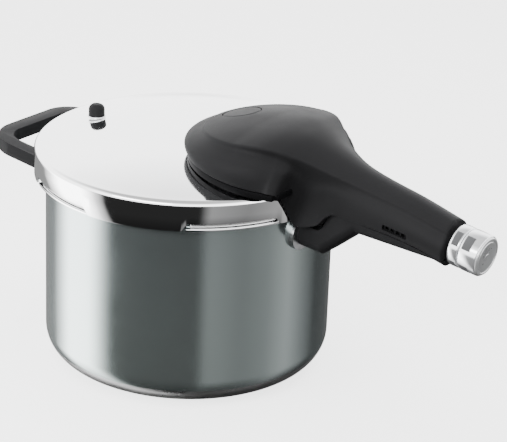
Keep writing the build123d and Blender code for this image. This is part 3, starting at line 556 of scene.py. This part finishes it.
def make_pot():
    """The pot's coated wall and base, its bare inside and the lip's bayonet segments."""
    inner = pot_radius - wall
    disc = pot_radius - base_corner - 1.0 * MM
    outside = lathe_open(
        "pot_shell",
        [(0, 0.5 * MM), (disc - 24 * MM, 0.5 * MM), (disc - 23.5 * MM, 0), (disc - 0.4 * MM, 0)]
        + [(disc, 0.3 * MM), (disc + 0.6 * MM, 0.3 * MM)]
        + arc(pot_radius - base_corner, base_corner, base_corner, -88, 0, 20)
        + [(pot_radius, pot_height * 0.4), (pot_radius, pot_height * 0.7)]
        + [(pot_radius, pot_height - 3.2 * MM)]
        + arc(pot_radius + 1.0 * MM, pot_height - 1.2 * MM, 1.0 * MM, 200, 360, 6)[3:]
        + arc(pot_radius + 1.0 * MM, pot_height - 1.0 * MM, 1.0 * MM, 0, 90, 5)
        + arc(inner + 0.8 * MM, pot_height - 0.8 * MM, 0.8 * MM, 90, 180, 4)
        + [(inner, pot_height * 0.6), (inner, floor_top + inner_corner)]
        + arc(inner - inner_corner, floor_top + inner_corner, inner_corner, 0, -90, 14)
        + [(inner - inner_corner - 20 * MM, floor_top), (0, floor_top)],
        steps=240,
    )
    shade(outside, 40)
    lip = []
    hem = pot_height - 7.2 * MM
    for k in range(5):
        first = radians(72 * k - 17)
        segment = lathe(
            f"lip_{k}",
            [
                (pot_radius + 0.2 * MM, pot_height - 2.5 * MM),
                (lip_radius - 2.5 * MM, pot_height - 2.5 * MM),
                (lip_radius - 2.5 * MM, hem),
                (lip_radius, hem),
                (lip_radius, pot_height),
                (pot_radius + 0.2 * MM, pot_height),
            ],
            steps=34,
            turn=radians(34),
            start=first,
        )
        soften(segment, 0.6 * MM, 3, 40)
        shade(segment, 40)
        lip.append(segment)
    pot = join("pot_shell", [outside] + lip)
    finish_piece(pot, "pot", "pot_coating", enamel, "pot_body")
    pot.data.materials.append(pot_inside)
    for face in pot.data.polygons:
        middle = face.center
        inside = hypot(middle.x, middle.y) < inner + 0.4 * MM and middle.z > floor_top - 1.0 * MM
        on_lip = hypot(middle.x, middle.y) > pot_radius + 0.15 * MM and middle.z > hem - 1.0 * MM
        under = middle.z < 0.6 * MM and hypot(middle.x, middle.y) < disc + 0.5 * MM
        face.material_index = 1 if inside or on_lip or under else 0


# ==== Lid ====
lid_sheet = 1.5 * MM
dome_edge = lid_radius - 4.0 * MM
dome_curve = (dome_edge**2 + dome_rise**2) / (2 * dome_rise)
skirt_z = pot_height - 3.7 * MM
claw_thickness = 1.8 * MM


def dome_z(radius, drop=0.0):
    """Height of the lid's dome at a radius."""
    return lid_edge_z + dome_rise - dome_curve + sqrt(dome_curve**2 - radius**2) - drop


def make_lid():
    """The polished dome, its turned-down skirt and the five claws that reach under the lip."""
    shoulder = 4.0 * MM
    rings = 26
    outer = [(dome_edge * i / rings, dome_z(dome_edge * i / rings)) for i in range(rings)]
    outer += arc(dome_edge, lid_edge_z - shoulder, shoulder, 86, 0, 10)
    outer += [(lid_radius, lid_edge_z - 9 * MM), (lid_radius, skirt_z)]
    under = [(lid_radius - lid_sheet, skirt_z), (lid_radius - lid_sheet, lid_edge_z - shoulder)]
    under += arc(dome_edge, lid_edge_z - shoulder, shoulder - lid_sheet, 0, 86, 6)
    under += [
        (dome_edge * i / rings, dome_z(dome_edge * i / rings, lid_sheet))
        for i in range(rings - 1, -1, -1)
    ]
    lid = lathe_open("lid_dome", outer + under, steps=360)
    for vertex in lid.data.vertices:
        if abs(vertex.co.z - skirt_z) > 0.01 * MM:
            continue
        turn = atan2(vertex.co.y, vertex.co.x) * 180 / pi
        from_gap = abs((turn - 36 + 36) % 72 - 36)
        vertex.co.z += (claw_z - skirt_z) * ease((from_gap - 16) / 2.4)
    soften(lid, 0.3 * MM, 2, 50)
    shade(lid, 40)
    tip = lip_radius - 4.0 * MM
    claws = []
    for k in range(5):
        claw = lathe(
            f"claw_{k}",
            [
                (tip, claw_z + 0.02 * MM),
                (lid_radius - 0.6 * MM, claw_z + 0.02 * MM),
                (lid_radius - 0.6 * MM, claw_z + claw_thickness),
                (tip, claw_z + claw_thickness),
            ],
            steps=35,
            turn=radians(35),
            start=radians(72 * k - 17.5),
        )
        soften(claw, 0.4 * MM, 2, 40)
        shade(claw, 40)
        claws.append(claw)
    lid = join("lid_dome", [lid] + claws)
    finish_piece(lid, "lid", "polished_steel", mirror_steel, "lid_shell")


# ==== Lid handle: the round head, its neck over the rim and the grip, as one skin ====
band = 4.5 * MM
seam_gap = 0.35 * MM
crease_radius = 53.0 * MM
crease_rise = 34.6
nose_dip = 3.4
crown_rise = 42.2
head_middle = -41.8
behind_rim = 123.0
head_swell, nose_swell, head_groove = 4.6, 2.2, 1.8
edge_hold = 0.03


def base_z(x):
    """Height of the head's underside."""
    return head_z + (head_x - x) * head_slope


def past(distance):
    """The x at a distance past the rim, both in millimetres."""
    return rim_x + distance * MM


def handle_seam_z(radius):
    """Height of the lower edge of the lid handle outside the rim."""
    end = knob_joint.x + 8 * MM
    table = [
        (rim_x - 10 * MM, seam_z),
        (rim_x + 8 * MM, seam_z),
        (rim_x + 14 * MM, seam_z + 0.6 * MM),
        (rim_x + 20 * MM, seam_z + 6.0 * MM),
        (rim_x + 26 * MM, seam_z + 14.0 * MM),
        (rim_x + 31 * MM, seam_z + 16.8 * MM),
        (rim_x + 38 * MM, seam_z + 16.2 * MM),
        (rim_x + 91 * MM, seam_z + 12.2 * MM),
        (end, seam_z + 3.5 * MM),
    ]
    return along(table, radius) + seam_gap


# The skin's lower edge where the neck comes down in front of the rim:
# the crease's x past the rim, then the lower edge's x past the rim, its y and its z above the seam.
neck_columns = [
    (-8.0, -8.0, 58.5, 35.0),
    (-4.0, -3.6, 55.6, 34.2),
    (0.0, -0.4, 51.0, 32.4),
    (3.0, -2.4, 43.5, 27.6),
    (6.0, -3.4, 38.2, 21.0),
    (9.0, -2.5, 32.6, 11.0),
    (12.0, -1.3, 27.6, 2.6),
    (16.0, 3.0, 25.0, 0.5),
]
crease_half = [
    (head_middle, 53.0), (-30.0, 51.6), (-18.0, 47.4), (-7.0, 39.5), (0.0, 33.6), (9.0, 27.8),
    (20.0, 22.8), (32.0, 18.9), (44.0, 16.4), (62.0, 14.6), (90.0, 13.8), (behind_rim, 13.0),
]
crease_height = [
    (head_middle, crease_rise), (-30.0, 35.6), (-18.0, 35.4), (-7.0, 32.6), (0.0, 29.6),
    (9.0, 25.4),
    (20.0, 21.0), (32.0, 17.2), (44.0, 14.2), (62.0, 10.8), (90.0, 6.0), (behind_rim, -1.6),
]
top_height = [
    (head_middle, crown_rise), (-30.0, 42.4), (-18.0, 41.6), (-7.0, 39.4), (0.0, 37.2),
    (9.0, 33.6), (20.0, 29.4), (32.0, 25.4), (44.0, 22.0), (62.0, 18.0),
    (90.0, 12.4), (behind_rim, 4.0),
]
lower_half = [
    (16.0, 25.0), (24.0, 22.6), (34.0, 20.6), (50.0, 19.3), (70.0, 18.6), (95.0, 18.0),
    (behind_rim, 16.9),
]
flank_swell = [
    (head_middle, head_swell), (-30.0, 4.4), (-18.0, 3.6), (-7.0, 1.6), (0.0, -0.6),
    (9.0, -2.2), (20.0, -1.0), (34.0, 1.0), (60.0, 2.6), (behind_rim, 3.4),
]
groove_depth = [
    (head_middle, head_groove), (-30.0, 2.4), (-18.0, 3.0), (-7.0, 3.2), (0.0, 2.8),
    (9.0, 2.2), (20.0, 1.2), (34.0, 0.5), (60.0, 0.0), (behind_rim, 0.0),
]
columns_head = 26
columns_back = 84
rows_side = 18
rows_top = 14


def swell_at(v, swell, groove):
    """How far the side stands out from the straight line between lower edge and crease."""
    out = swell * sin(pi * min(1.0, v * 1.12))
    return (out - groove * sin(pi * ease((v - 0.55) / 0.45))) * MM


def side_points(low, crease, outward, swell, groove):
    """Points up the side, from the lower edge to the crease."""
    points = []
    rises = [0.0, 0.02] + [j / rows_side for j in range(1, rows_side)] + [0.975, 1.0]
    for v in rises:
        points.append(low.lerp(crease, v) + outward * swell_at(v, swell, groove))
    return points


def top_points(crease, ridge, power):
    """Points over the top, from just inside the crease to the ridge."""
    points = []
    for j in [0.25] + list(range(1, rows_top + 1)):
        t = 1 - (j / rows_top) ** 0.85
        flat = ridge.lerp(crease, t)
        flat.z = ridge.z - (ridge.z - crease.z) * t**power
        points.append(flat)
    return points


def head_column(angle):
    """One column of the round head, from its underside's middle up to the crown."""
    toward = Vector((cos(angle), sin(angle), 0))
    centre = Vector((head_x, 0, 0))
    low = centre + toward * head_radius * 0.998
    low.z = base_z(low.x) + band + seam_gap
    nose = max(0.0, -toward.x)
    crease = centre + toward * crease_radius
    crease.z = lid_edge_z + (crease_rise - nose_dip * nose**1.3) * MM
    ridge = Vector((head_x, 0, lid_edge_z + crown_rise * MM))
    under = Vector((head_x, 0, base_z(head_x) + band + seam_gap))
    swell, groove = head_swell + nose_swell * nose, head_groove * (1 - nose) ** 1.5
    sides = side_points(low, crease, toward, swell, groove)
    return [under, low.lerp(under, edge_hold)] + sides + top_points(crease, ridge, 2.1)


def back_column(distance):
    """One column behind the head's middle, at a crease distance past the rim."""
    crease = Vector(
        (past(distance), along(crease_half, distance) * MM,
         lid_edge_z + along(crease_height, distance) * MM)
    )
    ridge = Vector((past(distance), 0, lid_edge_z + along(top_height, distance) * MM))
    if distance < neck_columns[0][0]:
        x = past(distance)
        low = Vector((x, sqrt(head_radius**2 - (x - head_x) ** 2) * 0.998, 0))
        low.z = base_z(x) + band + seam_gap
        under = Vector((x, 0, low.z))
        outward = Vector((x - head_x, low.y, 0)).normalized()
    elif distance <= neck_columns[-1][0]:
        tables = [[(row[0], row[i]) for row in neck_columns] for i in (1, 2, 3)]
        x, y, z = (along(table, distance) for table in tables)
        low = Vector((past(x), y * MM, seam_z + z * MM))
        if z < 34.0:
            clear = rim_x + 0.9 * MM
            reach = hypot(low.x, low.y)
            if reach < clear:
                low.x = sqrt(clear**2 - low.y**2)
        fade = ease((distance + 8) / 8)
        under = Vector((low.x + (max(low.x, rim_x + 1.2 * MM) - low.x) * fade, 0, low.z))
        turn = radians(90 - 50 * (1 - ease((distance + 8) / 24)))
        outward = Vector((cos(turn), sin(turn), 0))
    else:
        x = past(distance)
        half = along(lower_half, distance) * MM
        low = Vector((x, half, handle_seam_z(hypot(x, half))))
        under = Vector((x, 0, handle_seam_z(x)))
        outward = Vector((0, 1, 0))
    swell = along(flank_swell, distance)
    groove = along(groove_depth, distance)
    power = along([(head_middle, 2.1), (20.0, 2.2), (behind_rim, 2.3)], distance)
    sides = side_points(low, crease, outward, swell, groove)
    return [under, low.lerp(under, edge_hold)] + sides + top_points(crease, ridge, power)


def make_handle_skin():
    """The lid handle's outer skin, mirrored and subdivided once; the button's well and the vent's slot are cut in
    it later.
    """
    columns = [head_column(pi - pi / 2 * i / columns_head) for i in range(columns_head)]
    last = (knob_joint.x - rim_x) / MM - 1.6
    step = (last - head_middle) / columns_back
    columns += [back_column(head_middle + step * i) for i in range(columns_back + 1)]
    height = len(columns[0])
    points = [p for column in columns for p in column]
    faces = []
    for i in range(len(columns) - 1):
        for j in range(height - 1):
            a = i * height + j
            faces.append((a, a + height, a + height + 1, a + 1))
    end = (len(columns) - 1) * height
    faces.append(tuple(range(end, end + height)))
    skin = piece_from("handle_skin", points, (), faces)
    modify(skin, "MIRROR", use_axis=(False, True, False), use_clip=True, merge_threshold=1e-5)
    clean(skin, 1e-5)
    modify(skin, "SUBSURF", levels=1, render_levels=1)
    return skin


def surface_height(skin, x, y):
    """Height of a skin's top above a point, found by a ray from above."""
    hit, point = skin.ray_cast(Vector((x, y, 1.0)), Vector((0, 0, -1)))[:2]
    return point.z if hit else button_high.z


def make_button(skin):
    """The pressure button: a short cylinder whose top follows the head, with two ring grooves."""
    foot = button_low.z
    gap = 0.45 * MM
    bpy.ops.mesh.primitive_cylinder_add(
        vertices=96, radius=button_radius + gap, depth=30 * MM,
        location=(button_x, 0, foot - 1.0 * MM + 15 * MM),
    )
    well = bpy.context.active_object
    place(well, Matrix.Translation(well.location))
    well.location = (0, 0, 0)
    edge = 1.1 * MM
    groove = button_radius - 0.65 * MM
    rings = 10

    def follow_head(piece):
        """Turns heights of 0 to 1 up the side, and 1 to 2 over the edge, into real ones."""
        place(piece, Matrix.Translation((button_x, 0, 0)))
        for vertex in piece.data.vertices:
            share = vertex.co.z
            radius = hypot(vertex.co.x - button_x, vertex.co.y)
            top = surface_height(skin, vertex.co.x, vertex.co.y) - edge
            over = max(0.0, share - 1)
            dish = 0.3 * MM * (1 - (radius / button_radius) ** 2)
            vertex.co.z = foot + (top - foot) * min(1.0, share) + (edge - dish) * over

    profile = [(0.0, 0.0), (button_radius - 2.2 * MM, 0.0), (button_radius, 0.0)]
    bands = ((0.12, 0.30), (0.52, 0.70))
    for low, high in bands:
        profile += [(button_radius, low), (groove, low), (groove, high), (button_radius, high)]
    profile += [(button_radius, 1.0), (button_radius - edge * 0.3, 1.7)]
    profile += [(button_radius - edge, 2.0)]
    profile += [((button_radius - edge) * (1 - i / rings), 2.0) for i in range(1, rings + 1)]
    button = lathe_open("pressure_button", profile, steps=96)
    follow_head(button)
    shade(button, 30)
    marks = []
    for k, (low, high) in enumerate(bands):
        outer = button_radius - 0.12 * MM
        low, high = low + 0.02, high - 0.02
        ring = lathe(
            f"pressure_ring_{k}",
            [(groove, low), (outer, low), (outer, high), (groove, high)],
            steps=96,
        )
        follow_head(ring)
        shade(ring, 30)
        marks.append(ring)
    cut(skin, well)
    finish_piece(button, "indicator", "handle_plastic", handle_plastic, "indicator_cap")
    marks = join("pressure_rings", marks)
    finish_piece(marks, "indicator", "warning_plastic", warning_plastic, "indicator_rings")


def make_handle():
    """The handle's skin with its button and its vent slot."""
    skin = make_handle_skin()
    make_button(skin)
    vent_low, vent_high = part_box("steam_vent")
    bpy.ops.mesh.primitive_cube_add(size=1.0)
    slot_tool = bpy.context.active_object
    turn = Matrix.Rotation(asin(-knob_axis.z), 4, "Y")
    size = Matrix.Diagonal((21.2 * MM, 8 * MM, 4.4 * MM, 1))
    middle = (vent_low + vent_high) / 2
    place(slot_tool, Matrix.Translation((middle.x, vent_low.y - 1.0 * MM, middle.z)) @ turn @ size)
    soften(slot_tool, 1.2 * MM, 3)
    cut(skin, slot_tool)
    shade(skin, 50)
    finish_piece(skin, "lid", "handle_plastic", handle_plastic, "handle_cover", "handle_floor")


# ==== Turning knob ====
knob_radius = 15.7 * MM
collar_end = 8.4 * MM
grip_start = 9.0 * MM
grip_end = 23.5 * MM
face_end = 24.8 * MM


def on_knob_axis(piece):
    """Turns a piece made round the upright axis onto the knob's own axis."""
    turn = knob_axis.to_track_quat("Z", "Y").to_matrix().to_4x4()
    place(piece, Matrix.Translation(knob_joint) @ turn)
    return piece


def knob_windows(name, first, last, body):
    """Four satin panels let into a chromed ring, evenly spaced round it."""
    panels = []
    inner, outer = knob_radius - 0.7 * MM, knob_radius - 0.05 * MM
    for k in range(4):
        panel = lathe(
            f"{name}_{k}",
            [(inner, first), (outer, first), (outer, last), (inner, last)],
            steps=14,
            turn=radians(42),
            start=radians(90 * k - 21),
        )
        soften(panel, 0.35 * MM, 3, 40)
        shade(panel, 40)
        panels.append(panel)
    windows = on_knob_axis(join(name, panels))
    finish_piece(windows, body, "knob_chrome", knob_window)


def chrome_ring(name, first, last, body, node, inner=9.0 * MM):
    """A chromed ring with rounded edges, standing for a CAD ring of the knob."""
    outer = knob_radius - 0.2 * MM
    round_edge = 0.8 * MM
    ring = lathe(
        name,
        [(inner, first), (outer - round_edge, first)]
        + [(outer - round_edge * 0.3, first + round_edge * 0.3), (outer, first + round_edge)]
        + [(outer, last - round_edge), (outer - round_edge * 0.3, last - round_edge * 0.3)]
        + [(outer - round_edge, last), (inner, last)],
        steps=96,
    )
    shade(on_knob_axis(ring), 50)
    finish_piece(ring, body, "knob_chrome", knob_chrome, node)


def make_knob():
    """The fixed collar, the turning grip and its turned end disc."""
    chrome_ring("collar_ring", 0.0, collar_end, "lid", "knob_collar")
    knob_windows("collar_windows", 1.6 * MM, 7.2 * MM, "lid")
    chrome_ring("grip_ring", grip_start, grip_end, "knob", "knob_grip", 6.0 * MM)
    knob_windows("grip_windows", 10.4 * MM, 17.5 * MM, "knob")
    disc = knob_radius - 1.1 * MM
    face = lathe_open(
        "end_disc",
        [(0, grip_end - 2 * MM), (disc, grip_end - 2 * MM), (disc, grip_end + 0.5 * MM)]
        + [(disc - 0.6 * MM, face_end - 0.1 * MM), (disc - 2.0 * MM, face_end)]
        + [(disc - 2.3 * MM, face_end - 0.35 * MM), (disc - 3.1 * MM, face_end - 0.35 * MM)]
        + [(disc - 3.4 * MM, face_end - 0.05 * MM), (4.6 * MM, face_end - 0.15 * MM)]
        + [(2.6 * MM, face_end - 0.2 * MM), (2.2 * MM, face_end), (0, face_end)],
        steps=96,
    )
    shade(on_knob_axis(face), 25)
    finish_piece(face, "knob", "knob_end", knob_end, "knob_face")


def make_small_parts():
    """CAD parts in view whose shape is right, given rounded edges."""
    for node, body, slot, look, width in (
        ("pot_handle", "pot", "handle_plastic", handle_plastic, 0.8 * MM),
        ("side_handle", "pot", "handle_plastic", handle_plastic, 0.9 * MM),
        ("handle_base", "lid", "dark_plastic", band_plastic, 0.5 * MM),
        ("flame_guard", "pot", "brushed_steel", brushed_steel, 0.25 * MM),
    ):
        finish_piece(remade(node, width), body, slot, look, node)


def make_valve_cap():
    """The safety valve's domed cap."""
    radius = (valve_high.x - valve_low.x) / 2
    low, high = valve_low.z - 1.6 * MM, valve_high.z
    cap = lathe(
        "valve_cap",
        [(2.4 * MM, low + 1.7 * MM), (radius - 0.9 * MM, low + 1.7 * MM)]
        + [(radius - 0.9 * MM, low), (radius - 0.2 * MM, low), (radius, low + 0.3 * MM)]
        + [(radius, high - 4.4 * MM)]
        + arc(radius - 4.4 * MM, high - 4.4 * MM, 4.4 * MM, 10, 90, 9)
        + [(radius * 0.2, high + 0.0), (0.01 * MM, high), (0.01 * MM, low + 5.8 * MM)]
        + [(2.4 * MM, low + 5.8 * MM)],
        steps=64,
    )
    place(cap, Matrix.Translation(((valve_low.x + valve_high.x) / 2,
                                   (valve_low.y + valve_high.y) / 2, 0)))
    shade(cap, 40)
    finish_piece(cap, "safety_valve", "dark_plastic", handle_plastic, "safety_cap")


make_pot()
make_lid()
make_handle()
make_knob()
make_small_parts()
make_valve_cap()

# ==== Everything else: CAD nodes with their finishes ====
node_looks = {
    "pot_coating": enamel,
    "polished_steel": mirror_steel,
    "brushed_steel": brushed_steel,
    "spring_steel": spring_steel,
    "handle_plastic": handle_plastic,
    "dark_plastic": band_plastic,
    "bearing_plastic": bearing_plastic,
    "warning_plastic": warning_plastic,
    "seal_rubber": seal_rubber,
    "membrane_rubber": membrane_rubber,
    "knob_chrome": knob_chrome,
    "knob_end": knob_end,
}
for subpart in frame["record"]["subparts"]:
    mesh = frame["nodes"][subpart["node"]].data
    mesh.materials.clear()
    mesh.materials.append(node_looks[subpart["material_slot"]])

# ==== Floor, light and camera ====
azimuth, elevation, distance = radians(38.6), radians(23.28), 1.70
bpy.ops.mesh.primitive_plane_add(size=8.0, location=(0, 0, -0.0002))
floor = bpy.context.active_object
floor.name = "floor"
floor_look, _, floor_shader = new_material("floor_look", 0.0, 0.7)
floor_shader.inputs["Base Color"].default_value = (0.93, 0.93, 0.93, 1)
floor_shader.inputs["Emission Color"].default_value = (1, 1, 1, 1)
floor_shader.inputs["Emission Strength"].default_value = 2.6
floor.data.materials.append(floor_look)
floor.visible_glossy = False
floor.visible_diffuse = False


def area_light(name, place_at, aim, size, power, glossy):
    """A soft rectangular light aimed at a point."""
    data = bpy.data.lights.new(name, "AREA")
    data.shape = "RECTANGLE"
    data.size, data.size_y = size
    data.energy = power
    light = bpy.data.objects.new(name, data)
    light.location = place_at
    light.rotation_euler = (Vector(aim) - Vector(place_at)).to_track_quat("-Z", "Y").to_euler()
    light.visible_glossy = glossy
    bpy.context.collection.objects.link(light)
    return light


middle = (0.05, 0.0, 0.12)
area_light("top_softbox", (0.0, 0.1, 1.5), middle, (1.8, 1.8), 36, False)
area_light("left_softbox", (-0.55, -1.35, 0.55), middle, (0.7, 0.9), 14, False)
area_light("handle_strip", (0.1, -1.1, 0.75), (0.15, 0.0, 0.18), (0.9, 0.25), 7, True)


def studio_world():
    """A white studio whose cards show in the metal: bright to the left, dark in front."""
    world = bpy.data.worlds.new("studio")
    bpy.context.scene.world = world
    world.use_nodes = True
    tree = world.node_tree
    link = tree.links.new
    coordinates = tree.nodes.new("ShaderNodeTexCoord")

    def part_along(direction):
        node = tree.nodes.new("ShaderNodeVectorMath")
        node.operation = "DOT_PRODUCT"
        node.inputs[1].default_value = direction
        link(coordinates.outputs["Generated"], node.inputs[0])
        return node.outputs["Value"]

    angle = tree.nodes.new("ShaderNodeMath")
    angle.operation = "ARCTAN2"
    link(part_along((cos(azimuth), sin(azimuth), 0)), angle.inputs[0])
    link(part_along((sin(azimuth), -cos(azimuth), 0)), angle.inputs[1])
    place_on = tree.nodes.new("ShaderNodeMapRange")
    place_on.inputs["From Min"].default_value = -pi
    place_on.inputs["From Max"].default_value = pi
    link(angle.outputs[0], place_on.inputs["Value"])
    cards = tree.nodes.new("ShaderNodeValToRGB")
    stops = [
        (-180, 0.04), (-134, 0.045), (-122, 0.35), (-110, 1.0), (-86, 1.0), (-72, 0.2),
        (-64, 0.003),
        (8, 0.003), (16, 0.045), (44, 0.032), (66, 0.045), (88, 0.085), (104, 0.045), (124, 0.008),
        (180, 0.02),
    ]
    ramp = cards.color_ramp
    while len(ramp.elements) < len(stops):
        ramp.elements.new(0.5)
    for element, (degrees, value) in zip(ramp.elements, stops):
        element.position = (degrees + 180) / 360
        element.color = (value, value, value, 1)
    link(place_on.outputs["Result"], cards.inputs["Fac"])
    height = tree.nodes.new("ShaderNodeMapRange")
    height.inputs["From Min"].default_value = -0.12
    height.inputs["From Max"].default_value = 0.03
    height_out = part_along((0, 0, 1))
    link(height_out, height.inputs["Value"])
    above = tree.nodes.new("ShaderNodeMapRange")
    above.inputs["From Min"].default_value = 0.5
    above.inputs["From Max"].default_value = 0.85
    above.inputs["To Min"].default_value = 4.8
    above.inputs["To Max"].default_value = 1.0
    link(height_out, above.inputs["Value"])
    card_light = tree.nodes.new("ShaderNodeVectorMath")
    card_light.operation = "SCALE"
    link(cards.outputs["Color"], card_light.inputs[0])
    mirror = tree.nodes.new("ShaderNodeMix")
    mirror.data_type = "RGBA"
    deep = tree.nodes.new("ShaderNodeMapRange")
    deep.inputs["From Min"].default_value = -0.85
    deep.inputs["From Max"].default_value = -0.5
    deep.inputs["To Min"].default_value = 2.0
    deep.inputs["To Max"].default_value = 9.0
    link(height_out, deep.inputs["Value"])
    link(deep.outputs["Result"], card_light.inputs["Scale"])
    link(height.outputs["Result"], mirror.inputs["Factor"])
    link(card_light.outputs["Vector"], mirror.inputs["A"])
    link(above.outputs["Result"], mirror.inputs["B"])
    rays = tree.nodes.new("ShaderNodeLightPath")
    plain = tree.nodes.new("ShaderNodeMix")
    plain.data_type = "RGBA"
    plain.inputs["A"].default_value = (0.45, 0.45, 0.45, 1)
    plain.inputs["B"].default_value = (9.0, 9.0, 9.0, 1)
    link(rays.outputs["Is Camera Ray"], plain.inputs["Factor"])
    chosen = tree.nodes.new("ShaderNodeMix")
    chosen.data_type = "RGBA"
    link(rays.outputs["Is Glossy Ray"], chosen.inputs["Factor"])
    link(plain.outputs["Result"], chosen.inputs["A"])
    link(mirror.outputs["Result"], chosen.inputs["B"])
    link(chosen.outputs["Result"], tree.nodes["Background"].inputs["Color"])
    tree.nodes["Background"].inputs["Strength"].default_value = 1.0


studio_world()
away = Vector((sin(azimuth) * cos(elevation), -cos(azimuth) * cos(elevation), sin(elevation)))
right = Vector((cos(azimuth), sin(azimuth), 0))
up = away.cross(right)
camera_place = away * distance + Vector((0, 0, 0.09))
aim_right, aim_up = 0.03014, 0.010093
roll = radians(-1.45)
x_turned = aim_right * cos(roll) + aim_up * sin(roll)
y_turned = -aim_right * sin(roll) + aim_up * cos(roll)
look_along = (-away + right * x_turned + up * y_turned).normalized()
camera_data = bpy.data.cameras.new("camera")
camera_data.lens = 152.66
camera = bpy.data.objects.new("camera", camera_data)
camera_up = (up - look_along * up.dot(look_along)).normalized()
camera_right = look_along.cross(camera_up)
turned_up = camera_up * cos(roll) + camera_right * sin(roll)
turned_right = camera_right * cos(roll) - camera_up * sin(roll)
camera.matrix_world = Matrix(
    (
        (turned_right.x, turned_up.x, -look_along.x, camera_place.x),
        (turned_right.y, turned_up.y, -look_along.y, camera_place.y),
        (turned_right.z, turned_up.z, -look_along.z, camera_place.z),
        (0, 0, 0, 1),
    )
)
bpy.context.collection.objects.link(camera)
bpy.context.scene.camera = camera
